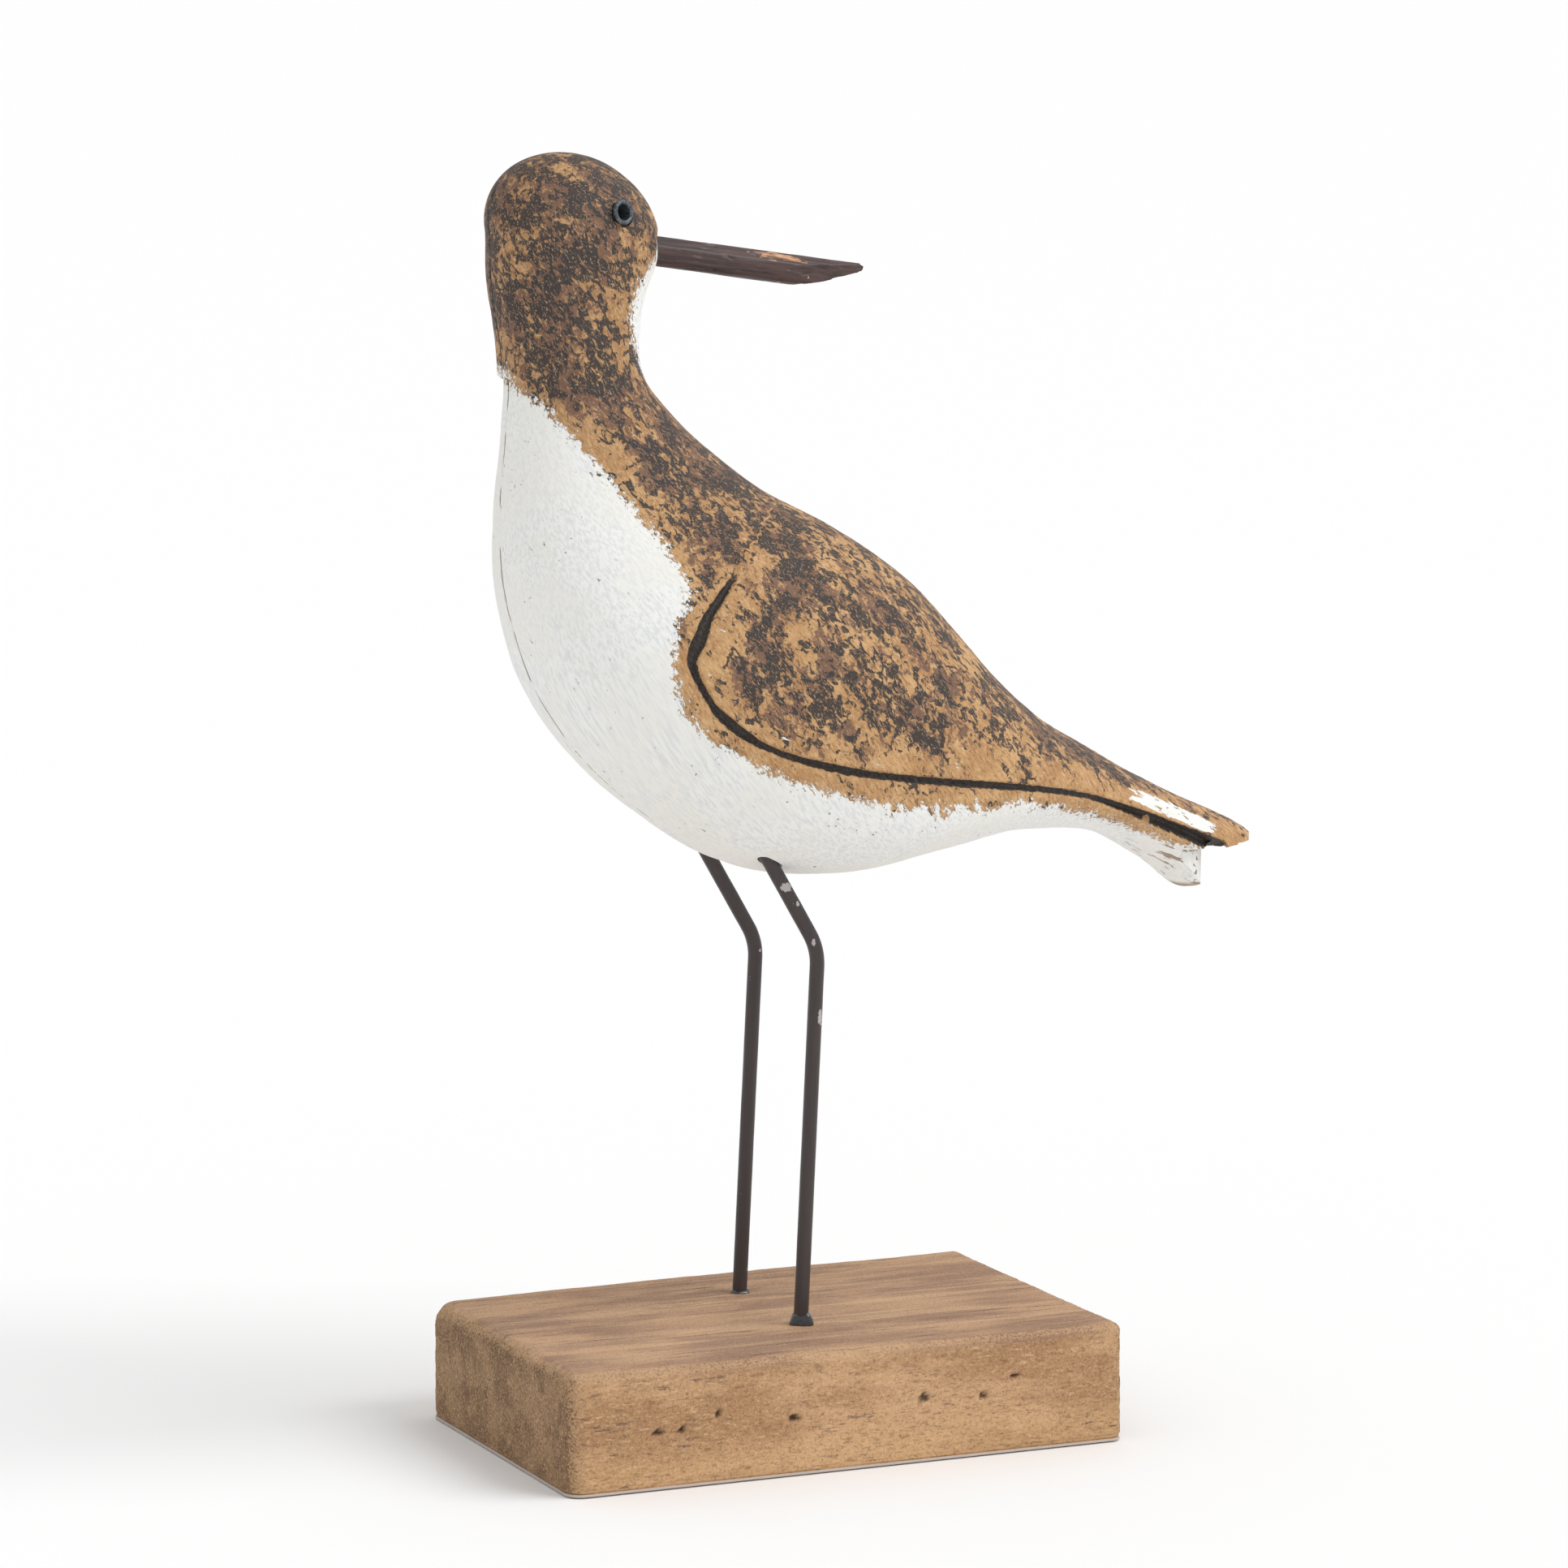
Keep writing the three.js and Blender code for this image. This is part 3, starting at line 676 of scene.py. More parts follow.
def stained_beak():
    p = Paint("stained_beak")
    along = p.turned((0, BEAK_DROOP, 0), (14, 1, 1))
    grain = p.noise(along, 1.1, 4, 0.65)
    color = p.mix(p.rise(grain, 0.32, 0.68), srgb(50, 34, 34), srgb(84, 62, 58))
    threads = p.noise(p.turned((0, BEAK_DROOP, 0), (7, 1, 1)), 2.0, 3, 0.65)
    color = p.mix(p.rise(threads, 0.62, 0.7, 0, 0.5), color, srgb(112, 90, 82))
    worn = p.product(p.rise(p.attribute("worn"), 0.35, 0.6), p.rise(threads, 0.36, 0.46))
    worn_tone = p.mix(p.rise(threads, 0.4, 0.65), srgb(150, 98, 66), srgb(218, 172, 130))
    color = p.mix(worn, color, worn_tone)
    specks = p.spots([
        ((7.4, -0.9, 232.2), (0.22, 0.5, 0.3)), ((16.6, -0.6, 231.6), (0.25, 0.6, 0.22)),
        ((4.4, 0.0, 230.6), (0.8, 1.4, 0.25)), ((-11.6, 0.0, 233.0), (0.6, 1.2, 0.2)),
        ((18.8, 1.4, 232.2), (0.22, 0.6, 0.2)), ((1.5, 0.0, 231.3), (0.5, 1.2, 0.2)),
    ], 0.5, 2.2)
    color = p.mix(p.product(specks, 0.9), color, srgb(214, 170, 132))
    relief = p.total(grain, p.product(threads, 0.4), p.product(worn, -0.5))
    return p.finish(color, 0.46, p.bump(relief, 0.12, 0.6))


def eyelet_metal():
    p = Paint("eyelet_metal")
    mottle = p.noise(p.place, 2.2, 3)
    color = p.mix(p.rise(mottle, 0.35, 0.65), srgb(58, 62, 67), srgb(104, 112, 118))
    rough = p.rise(mottle, 0.3, 0.7, 0.3, 0.48)
    return p.finish(color, rough, p.bump(mottle, 0.06, 0.4), Metallic=0.6)


def glue_material():
    p = Paint("black_glue")
    mottle = p.noise(p.place, 1.0, 2)
    color = p.mix(mottle, srgb(20, 20, 22), srgb(44, 44, 48))
    return p.finish(color, 0.08, p.bump(p.noise(p.place, 1.4, 2), 0.3, 0.6), Coat_Weight=0.6, Coat_Roughness=0.05)


def raw_wood():
    p = Paint("raw_wood")
    tone = p.mix(p.noise(p.place, 0.9, 3), srgb(112, 84, 56), srgb(196, 160, 116))
    return p.finish(tone, 0.85, p.bump(p.noise(p.place, 2.0, 2), 0.1, 0.5))


# Block

def axis_stops(low, high, low_edge, high_edge, step):
    """Stops along one axis, closer together near the rounded edges."""
    start = low + low_edge * (1 - np.cos(np.linspace(0, math.pi / 2, 8)))
    stop = high - high_edge * (1 - np.cos(np.linspace(math.pi / 2, 0, 8)))
    count = max(1, round((stop[0] - start[-1]) / step))
    return np.concatenate([start, np.linspace(start[-1], stop[0], count + 1)[1:-1], stop])


def block_shell():
    """The block's skin as a fine grid, with one plain face underneath."""
    half_x, half_y = BLOCK_LENGTH / 2, BLOCK_WIDTH / 2
    xs = axis_stops(-half_x, half_x, BLOCK_EDGE_LEFT, BLOCK_EDGE_RIGHT, 0.75)
    ys = axis_stops(-half_y, half_y, BLOCK_EDGE_RIGHT, BLOCK_EDGE_RIGHT, 0.6)
    foot = np.array([0, 0.12, 0.25, 0.4, PALE_BAND_TOP - 0.02, PALE_BAND_TOP + 0.08, PALE_BAND_TOP + 0.3, PALE_BAND_TOP + 0.5])
    zs = np.concatenate([foot, axis_stops(PALE_BAND_TOP + 0.9, BLOCK_HEIGHT, 0.3, BLOCK_EDGE_LEFT, 0.6)])
    nx, ny, nz = len(xs), len(ys), len(zs)
    number = -np.ones((nx, ny, nz), int)
    i, j, k = np.meshgrid(np.arange(nx), np.arange(ny), np.arange(nz), indexing="ij")
    skin = (i == 0) | (i == nx - 1) | (j == 0) | (j == ny - 1) | (k == nz - 1)
    number[skin] = np.arange(skin.sum())
    points = np.stack([xs[i[skin]], ys[j[skin]], zs[k[skin]]], axis=-1)

    def quads(sheet):
        return np.stack([sheet[:-1, :-1], sheet[1:, :-1], sheet[1:, 1:], sheet[:-1, 1:]], axis=-1).reshape(-1, 4)

    sheets = (number[:, :, -1], number[:, 0, :], number[:, -1, :], number[0, :, :], number[-1, :, :])
    faces = np.vstack([quads(sheet) for sheet in sheets]).tolist()
    rim = [*number[:, 0, 0], *number[-1, 1:, 0], *number[-2::-1, -1, 0], *number[0, -2:0:-1, 0]]
    faces.append([int(n) for n in rim])
    mesh = mesh_from("base_block_carved", points, faces)
    fix_normals(mesh)
    return mesh


def round_block(points):
    """Pulls the box's edges round, more widely towards the left end, and sets the foot in a little."""
    share = (points[:, 0] + BLOCK_LENGTH / 2) / BLOCK_LENGTH
    radius = BLOCK_EDGE_LEFT + (BLOCK_EDGE_RIGHT - BLOCK_EDGE_LEFT) * smoothstep(0, 0.5, share)
    back_left = smoothstep(0.3, 0, share) * smoothstep(10, 38, points[:, 1])
    radius = (radius + 1.2 * back_left)[:, None]
    high = np.array([BLOCK_LENGTH / 2, BLOCK_WIDTH / 2, BLOCK_HEIGHT]) - radius
    low = -high
    low[:, 2] = -99
    core = np.clip(points, low, high)
    out = points - core
    length = np.linalg.norm(out, axis=1, keepdims=True)
    rounded = core + out * np.minimum(1, radius / np.maximum(length, 1e-6))
    z = points[:, 2]
    inset = 0.45 * smoothstep(0.12, 0.0, z) + 0.15 * (z < PALE_BAND_TOP)
    inset += 0.30 * np.exp(-((z - PALE_BAND_TOP - 0.08) / 0.09) ** 2)
    inset += 0.28 * smoothstep(PALE_BAND_TOP + 1.4, PALE_BAND_TOP + 0.2, z) ** 2 * (z > PALE_BAND_TOP)
    middle = np.sign(rounded[:, :2]) * smoothstep(20, 34, np.abs(rounded[:, :2]))
    rounded[:, :2] -= middle * inset[:, None]
    return rounded


# Small natural pits on the front face: x, z, half length, half height, depth
PITS = [
    (-41.5, 11.5, 1.2, 0.55, 0.7), (-36.2, 11.6, 0.8, 0.6, 0.9), (-28.6, 14.0, 0.6, 0.5, 0.9),
    (-12.4, 11.6, 1.5, 0.7, 0.9), (15.7, 13.0, 1.2, 0.75, 0.8), (28.6, 12.2, 0.8, 0.6, 0.8),
    (35.4, 15.6, 0.9, 0.5, 0.9),
]


def pit_reach(points):
    """How deep each point lies in one of the front face's pits, from 0 to 1, and the depth there."""
    share, depth = np.zeros(len(points)), np.zeros(len(points))
    rag = 0.35 * fractal_noise(points, 1.6, 2, 77)
    front = points[:, 1] < -BLOCK_WIDTH / 2 + 2.5
    for x, z, long, tall, deep in PITS:
        across, up = (points[:, 0] - x) / long, (points[:, 2] - z) / tall
        reach = np.sqrt(across ** 2 + (up + 0.5 * np.abs(across)) ** 2) + rag
        here = np.where(front, smoothstep(1.25, 0.7, reach), 0)
        share = np.maximum(share, here)
        depth = np.maximum(depth, deep * here)
    return share, depth


def make_block():
    mesh = block_shell()
    points = round_block(points_of(mesh))
    move_points(mesh, points)
    normals = normals_of(mesh)
    upright = smoothstep(0.6, 1.4, points[:, 2])
    streaks = fractal_noise(points, (0.03, 0.8, 0.8), 3)
    fibre = fractal_noise(points, (0.3, 1.1, 1.1), 2, 40)
    sand = fractal_noise(points, 0.9, 2, 60)
    waves = fractal_noise(points, 0.05, 2, 80)
    is_end = smoothstep(0.6, 0.9, np.abs(normals[:, 0]))
    is_top = smoothstep(0.6, 0.9, normals[:, 2])
    depth = 0.07 * (1.75 + streaks) * (1 - is_end) * (0.4 + 0.6 * is_top)
    depth += 0.05 * (1.5 + fibre) * (1 - is_end) + 0.09 * (1.5 + sand) * is_end + 0.08 * (1.5 + waves)
    biggest = np.abs(normals).max(axis=1)
    arris = smoothstep(0.985, 0.85, biggest)
    nicks = smoothstep(0.35, 0.8, fractal_noise(points, (0.15, 0.4, 0.4), 2, 120))
    depth += arris * (0.12 * (1 + sand) + 0.5 * nicks)
    depth += 0.8 * np.exp(-((points[:, 1] + 6) / 1.6) ** 2 - ((points[:, 2] - 8.5) / 1.3) ** 2) * (normals[:, 0] > 0.7)
    depth += pit_reach(points)[1]
    points = points - normals * (depth * upright)[:, None]
    move_points(mesh, points)
    add_attribute(mesh, "arris", arris)
    mesh = cut_away(mesh, [leg_hole_in_block(leg) for leg in LEGS.values()])
    add_attribute(mesh, "pit", pit_reach(points_of(mesh))[0])
    shade_by_angle(mesh, 50)
    return finish_piece("base_block_carved", mesh, block_wood(), "base_block")


# Legs

def leg_line(leg):
    """Bottom, bend start, knee, bend end and top of a wire's middle line."""
    knee = Vector((leg["knee"][0], leg["y"], leg["knee"][1]))
    shin = Vector((leg["knee"][0] - leg["foot_x"], 0, leg["knee"][1] - BLOCK_HEIGHT)).normalized()
    thigh = Vector((-math.sin(THIGH_LEAN), 0, math.cos(THIGH_LEAN)))
    tangent = BEND_RADIUS * math.tan(shin.angle(thigh) / 2)
    bottom = knee + shin * ((BLOCK_HEIGHT - LEG_DEPTH_IN_BLOCK - knee.z) / shin.z)
    top = knee + thigh * ((LEG_TOP_Z - knee.z) / thigh.z)
    return bottom, knee - shin * tangent, knee, knee + thigh * tangent, top


def leg_hole_in_block(leg):
    bottom, bend_start, *_ = leg_line(leg)
    floor = bottom + (bottom - bend_start).normalized() * GAP
    return peg_mesh("hole", floor, bend_start, WIRE_RADIUS + GAP)


def leg_hole_in_body(leg):
    *_, bend_end, top = leg_line(leg)
    ceiling = top + (top - bend_end).normalized() * GAP
    return peg_mesh("hole", bend_end, ceiling, WIRE_RADIUS + GAP)


def make_leg(name, material):
    bottom, bend_start, knee, bend_end, top = leg_line(LEGS[name])
    line = []
    line += [bottom.lerp(bend_start, t) for t in np.linspace(0, 1, 90, endpoint=False)]
    bend = np.linspace(0, 1, 20, endpoint=False)
    line += [bend_start.lerp(knee, t).lerp(knee.lerp(bend_end, t), t) for t in bend]
    line += [bend_end.lerp(top, t) for t in np.linspace(0, 1, 34)]
    line = np.array([tuple(point) for point in line])
    tangent = np.gradient(line, axis=0)
    tangent /= np.linalg.norm(tangent, axis=1, keepdims=True)
    sideways = np.array([0.0, 1.0, 0.0])
    forward = np.cross(tangent, sideways)
    sides = 32
    angles = np.arange(sides) / sides * 2 * math.pi
    rings = line[:, None] + WIRE_RADIUS * 0.985 * (
        np.cos(angles)[None, :, None] * forward[:, None] + np.sin(angles)[None, :, None] * sideways
    )
    flat = rings.reshape(-1, 3)
    centre = np.repeat(line, sides, axis=0)
    dents = 1 + 0.012 * fractal_noise(flat, 0.25, 3, 11)
    flat = centre + (flat - centre) * dents[:, None]
    mesh = ring_mesh(name + "_wire", flat.reshape(rings.shape))
    shade_by_angle(mesh, 50)
    return finish_piece(name + "_wire", mesh, material, name)


def make_glue(name, at, radius, height, material, seed):
    """A small ring of set glue around a foot, uneven and rounded."""
    sides, steps = 40, 12
    rings = []
    for i in range(steps):
        turn = i / (steps - 1) * math.pi / 2
        ring = []
        for j in range(sides):
            angle = 2 * math.pi * j / sides
            wobble = 1 + 0.22 * value_noise(np.array([[math.cos(angle), math.sin(angle), seed]]), 1.7)[0]
            lump = 1 + 0.35 * value_noise(np.array([[math.cos(angle), math.sin(angle), seed + 3]]), 2.3)[0]
            reach = WIRE_RADIUS * 0.9 + (radius * wobble - WIRE_RADIUS * 0.9) * math.cos(turn)
            x = at[0] + reach * math.cos(angle)
            y = at[1] + reach * math.sin(angle)
            ring.append((x, y, at[2] - 0.5 + (height * lump + 0.5) * math.sin(turn)))
        rings.append(ring)
    mesh = ring_mesh(name, rings)
    shade_by_angle(mesh, 60)
    made = new_object(name, mesh)
    made.data.materials.append(material)
    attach(made, "root")
    return made


# Carving

def super_power(value, square):
    return np.sign(value) * np.abs(value) ** (2 / square)


def body_rings():
    """Rings of the carving before anything is cut into it, from the crown to the tail."""
    last = len(SECTIONS) - 1
    first_tail = last - TAIL_SECTIONS
    t = np.concatenate([
        np.linspace(0, first_tail, first_tail * RINGS_PER_SECTION, endpoint=False),
        np.linspace(first_tail, last, TAIL_SECTIONS * RINGS_PER_TAIL_SECTION + 1),
    ]) / last
    keel = catmull_rom(SECTIONS[:, 0:2], t)
    back = catmull_rom(SECTIONS[:, 2:4], t)
    girth = catmull_rom(SECTIONS[:, 4:6], t)
    middle, across = (keel + back) / 2, (back - keel) / 2
    half, square = girth[:, 0], girth[:, 1]
    turn = np.arange(CROWN_RINGS, 0, -1) / (CROWN_RINGS + 1) * math.pi / 2
    dome_middle = middle[0] + (CROWN - middle[0]) * np.sin(turn)[:, None]
    dome_across = across[0] * np.cos(turn)[:, None]
    middle = np.vstack([dome_middle, middle])
    across = np.vstack([dome_across, across])
    half = np.concatenate([half[0] * np.cos(turn), half])
    square = np.concatenate([np.full(CROWN_RINGS, square[0]), square])
    angles = np.arange(BODY_SIDES) / BODY_SIDES * 2 * math.pi
    u = super_power(np.cos(angles)[None], square[:, None])
    v = super_power(np.sin(angles)[None], square[:, None])
    x = middle[:, :1] + u * across[:, :1]
    z = middle[:, 1:] + u * across[:, 1:]
    y = MID_Y - v * half[:, None]
    return np.stack([x, y, z], axis=-1)


def surface_point(tree, x, z, side):
    start = Vector((x * MM, (MID_Y + side * 100) * MM, z * MM))
    point, normal, _, _ = tree.ray_cast(start, Vector((0, -side, 0)))
    return np.array(point) / MM, np.array(normal)


def groove_paths(tree):
    """For each side: points along the wing's edge, the way across it, its half width and the share run."""
    line = catmull_rom(WING_EDGE, np.linspace(0, 1, 1200))
    length = np.concatenate([[0], np.cumsum(np.linalg.norm(np.diff(line[:, :2], axis=0), axis=1))])
    even = np.linspace(0, length[-1], 600)
    line = np.stack([np.interp(even, length, line[:, k]) for k in range(3)], axis=-1)
    paths = []
    for side in (-1, 1):
        hits = [surface_point(tree, x, z, side) for x, z in line[:, :2]]
        points = np.array([h[0] for h in hits])
        out = np.array([h[1] for h in hits])
        tangent = np.gradient(points, axis=0)
        tangent /= np.linalg.norm(tangent, axis=1, keepdims=True)
        across = np.cross(out, tangent) * -side
        paths.append((points, across, line[:, 2], even / length[-1]))
    return paths


def groove_fields(points, paths):
    """Signed distance across the wing's edge, above it positive, the groove's half width and the share run."""
    across_all = np.full(len(points), -GROOVE_REACH)
    width_all = np.ones(len(points))
    along_all = np.zeros(len(points))
    for side, (line, across, width, along) in zip((-1, 1), paths):
        tree = KDTree(len(line))
        for i, point in enumerate(line):
            tree.insert(point, i)
        tree.balance()
        low, high = line.min(axis=0) - GROOVE_REACH, line.max(axis=0) + GROOVE_REACH
        near = np.nonzero(((points[:, 1] - MID_Y) * side > 0) & np.all((points > low) & (points < high), axis=1))[0]
        for n in near:
            _, i, reach = tree.find(points[n])
            sign = 1 if (points[n] - line[i]) @ across[i] >= 0 else -1
            across_all[n] = sign * min(reach, GROOVE_REACH)
            width_all[n] = width[i]
            along_all[n] = along[i]
    return across_all, width_all, along_all


def groove_relief(across, width, along):
    """How far the surface moves out, in millimetres, near the wing's edge."""
    widen = smoothstep(0.7, 1.0, along)
    depth = (GROOVE_DEPTH + (GROOVE_TAIL_DEPTH - GROOVE_DEPTH) * widen) * smoothstep(0.2, 0.9, width)
    reach = np.abs(across) / (width + 0.1)
    cut = -depth * np.clip(1 - reach ** 2, 0, 1)
    lip = 0.16 * np.exp(-((np.abs(across) - width - 0.4) / 0.45) ** 2) * (across > 0)
    wing = 0.3 * smoothstep(0.2, 1.6, across) * smoothstep(GROOVE_REACH - 0.5, 3, across) * (1 - 0.6 * widen)
    return cut + lip + wing


def tail_notch():
    radius = TAIL_CORNER_RADIUS
    turns = np.linspace(0, -math.pi / 2, 9)
    corner = [
        (NOTCH_X - radius + radius * math.cos(a), TAIL_BOTTOM_Z + radius + radius * math.sin(a)) for a in turns
    ]
    below = TAIL_BOTTOM_Z - 10
    far = NOTCH_X + 30
    outline = [(NOTCH_X, NOTCH_Z), *corner, (NOTCH_X - radius, below), (far, below), (far, NOTCH_Z + 0.5)]
    return extruded("notch", outline, MID_Y - 30, MID_Y + 30, "y")


def rounded_end(plan, low, high):
    start = plan["end_x"] - plan["length"]
    turns = np.linspace(-math.pi / 2, math.pi / 2, 25)
    curve = [(start + plan["length"] * math.cos(a), MID_Y + plan["half_width"] * math.sin(a)) for a in turns]
    wide = 30
    outline = [(start, MID_Y - wide), *curve, (start, MID_Y + wide)]
    outline += [(plan["end_x"] + wide, MID_Y + wide), (plan["end_x"] + wide, MID_Y - wide)]
    return extruded("rounded_end", outline, low, high, "z")


def along_beak(distance, offset=0.0):
    x = BEAK_ROOT[0] + distance * math.cos(BEAK_DROOP) + offset * math.sin(BEAK_DROOP)
    z = BEAK_ROOT[1] - distance * math.sin(BEAK_DROOP) + offset * math.cos(BEAK_DROOP)
    return (x, MID_Y, z)


def eye_place(tree, side):
    point, _ = surface_point(tree, EYE_X, EYE_Z, side)
    turn = Matrix.Rotation(-side * EYE_TURN, 4, "Z") @ Matrix.Rotation(-side * (math.pi / 2 - EYE_LIFT), 4, "X")
    return Matrix.Translation(Vector(point)) @ turn


def eye_seat(tree, side):
    place = eye_place(tree, side)
    levels = [
        (BARREL_RADIUS + GAP, -BARREL_LENGTH - GAP), (BARREL_RADIUS + GAP, -ROLL_RADIUS),
        (FLANGE_RADIUS + GAP, -ROLL_RADIUS), (FLANGE_RADIUS + GAP, BARREL_LENGTH),
    ]
    return lathe_mesh("eye_seat", levels, place, 48)


def lathe_mesh(name, levels, place, sides):
    rings = []
    for radius, height in levels:
        ring = []
        for i in range(sides):
            angle = 2 * math.pi * i / sides
            ring.append(tuple(place @ Vector((radius * math.cos(angle), radius * math.sin(angle), height))))
        rings.append(ring)
    return ring_mesh(name, rings)


def refine(mesh, keep, cuts):
    """Divides the edges whose ends both satisfy keep, and returns the finer mesh."""
    bm = bmesh.new()
    bm.from_mesh(mesh)
    bm.verts.ensure_lookup_table()
    edges = [e for e in bm.edges if keep[e.verts[0].index] and keep[e.verts[1].index]]
    bmesh.ops.subdivide_edges(bm, edges=edges, cuts=cuts, use_grid_fill=True)
    bm.to_mesh(mesh)
    bm.free()
    mesh.update()
    return mesh


def signed_edge(side_view, outline):
    distance = distance_to_line(side_view, outline, closed=True)
    return np.where(inside(side_view, outline), distance, -distance)


def make_body():
    rings = body_rings()
    crown = (CROWN[0], MID_Y, CROWN[1])
    mesh = ring_mesh("bird_body_carved", rings, (crown, None))
    tree = BVHTree.FromPolygons([v.co for v in mesh.vertices], [p.vertices for p in mesh.polygons])
    paths = groove_paths(tree)
    eyes = {side: eye_place(tree, side) for side in (-1, 1)}

    mesh = cut_away(mesh, [
        tail_notch(),
        rounded_end(TAIL_PLAN, TAIL_BOTTOM_Z - 10, NOTCH_Z),
        rounded_end(WING_TIP_PLAN, NOTCH_Z - 5, NOTCH_Z + 20),
        peg_mesh("socket", along_beak(-BEAK_DEPTH_IN_HEAD - GAP), along_beak(20), BEAK_RADIUS + GAP),
        *[leg_hole_in_body(leg) for leg in LEGS.values()],
        *[eye_seat(tree, side) for side in (-1, 1)],
    ])

    points = points_of(mesh)
    across, _, _ = groove_fields(points, paths)
    on_keel = (np.abs(points[:, 1] - MID_Y) < 1.4) & keel_side(points, normals_of(mesh))
    mesh = refine(mesh, (np.abs(across) < 2.6) | on_keel, 2)
    points, normals = points_of(mesh), normals_of(mesh)
    across, width, along = groove_fields(points, paths)
    relief = carving_relief(points, normals) + groove_relief(across, width, along)
    move_points(mesh, points + normals * relief[:, None])

    points = points_of(mesh)
    side_view = points[:, [0, 2]]
    white = np.maximum(signed_edge(side_view, WHITE_EDGE), signed_edge(side_view, THROAT_EDGE))
    add_attribute(mesh, "white_edge", np.clip(white, -30, 30))
    add_attribute(mesh, "groove_across", across)
    add_attribute(mesh, "groove_width", width)
    add_attribute(mesh, "groove_along", along)
    add_attribute(mesh, "seam_reach", np.where(keel_side(points, normals), np.abs(points[:, 1] - MID_Y), 9))
    add_attribute(mesh, "beak_reach", beak_reach(points))
    shade_by_angle(mesh, 42)
    body = finish_piece("bird_body_carved", mesh, painted_wood(), "bird_body")
    return body, eyes


def keel_side(points, normals):
    """Whether each point lies on the breast, throat or nape side, where the glue line shows."""
    return (normals[:, 0] < 0.25) & (normals[:, 2] < 0.5) & (points[:, 0] < 14) & (points[:, 2] < 252)


def beak_reach(points):
    drop = points[:, 2] - BEAK_ROOT[1] + (points[:, 0] - BEAK_ROOT[0]) * math.tan(BEAK_DROOP)
    reach = np.hypot(points[:, 1] - MID_Y, drop)
    return np.where(points[:, 0] > BEAK_ROOT[0] - 14, reach, 30)


def carving_relief(points, normals):
    """How far the hand-carved surface moves out, in millimetres, from the smooth loft."""
    x, y, z = points.T
    middle = y - MID_Y
    knife = 0.20 * fractal_noise(points, 0.06, 2, 3)
    strokes = 0.05 * fractal_noise(points, (0.5, 0.5, 0.25), 2, 23)
    top_side = smoothstep(-0.1, 0.4, normals[:, 2])
    grit = 0.10 * np.maximum(0, fractal_noise(points, 0.8, 2, 43)) * smoothstep(35, 70, x) * top_side
    chin = 1.25 * np.exp(-((z - 236.6) / 3.9) ** 2 - (middle / 7) ** 2) * smoothstep(0.1, 0.7, normals[:, 0])
    nub = 0.6 * np.exp(-((z - 243.8) / 0.7) ** 2 - ((middle + 4.5) / 1.2) ** 2) * (normals[:, 0] < -0.3)
    behind = smoothstep(-0.35, -0.8, normals[:, 0]) * smoothstep(11, 5, np.abs(middle))
    above_step = 0.7 * smoothstep(227, 215, z) * (z > 213.7)
    below_step = -0.45 * smoothstep(203, 213, z) * (z <= 213.7)
    seam = -0.28 * np.exp(-(middle / 0.42) ** 2) * keel_side(points, normals)
    breast = 0.25 * smoothstep(-0.1, -0.6, normals[:, 0]) * smoothstep(205, 190, z)
    settle = smoothstep(257.8, 252.0, z)
    total = (knife + strokes + grit - 0.1) * settle + chin + nub + breast + seam
    return total + (above_step + below_step) * behind


# Beak

# The beak's thickness from top to bottom at stops along it
BEAK_THICKNESS = np.array([
    (-9, 5.95), (5, 5.95), (18, 6.05), (26, 6.2), (28.7, 5.9), (31.5, 5.2), (34.2, 4.5), (36.9, 3.6),
    (39.6, 2.6), (41.6, 1.9), (42.4, 1.4), (42.8, 0.7), (43, 0.25),
])


def make_beak():
    """A dowel, planed along its upper left side and whittled from below to a point."""
    stops = np.concatenate([np.linspace(-BEAK_DEPTH_IN_HEAD, 24, 90), np.linspace(24.3, 41.5, 70),
                            np.linspace(41.6, BEAK_LENGTH, 16)])
    sides = 84
    angles = np.arange(sides) / sides * 2 * math.pi
    direction = np.stack([np.cos(angles), np.sin(angles)], axis=-1)
    radius = BEAK_RADIUS * 1.03
    rings = []
    for s in stops:
        thickness = np.interp(s, BEAK_THICKNESS[:, 0], BEAK_THICKNESS[:, 1])
        top = BEAK_RADIUS - 0.03 - 0.5 * max(0.0, s - 42) ** 1.5
        under = top - thickness
        flank = radius - 0.13 * max(0.0, s - 27)
        centre = np.array([0.0, (top + under) / 2])
        along = direction @ centre
        reach = -along + np.sqrt(along ** 2 - centre @ centre + radius ** 2)
        planes = [
            (math.pi / 2, top - centre[1]), (-math.pi / 2, centre[1] - under),
            (math.pi, flank), (0.0, flank + 0.15),
            (math.pi - math.radians(50), 2.74 - centre[1] * math.sin(math.radians(50))),
        ]
        for angle, distance in planes:
            facing = np.cos(angles - angle)
            limit = np.where(facing > 0.05, max(distance, 0.1) / np.maximum(facing, 0.05), 99.0)
            reach = np.minimum(reach, limit)
        ring = []
        for a, r in zip(angles, reach):
            x, _, z = along_beak(s, centre[1] + r * math.sin(a))
            ring.append((x, MID_Y + r * math.cos(a), z))
        rings.append(ring)
    mesh = ring_mesh("beak_dowel", rings)
    points, normals = points_of(mesh), normals_of(mesh)
    chipped = 0.18 * smoothstep(0.35, 0.7, fractal_noise(points, (0.3, 1.0, 1.0), 2, 35))
    relief = 0.045 * fractal_noise(points, (0.12, 0.9, 0.9), 3, 31) - 0.04 - chipped * (points[:, 0] > -20)
    move_points(mesh, points + normals * relief[:, None])
    add_attribute(mesh, "worn", beak_wear(points_of(mesh)))
    shade_by_angle(mesh, 32)
    return finish_piece("beak_dowel", mesh, stained_beak(), "beak")


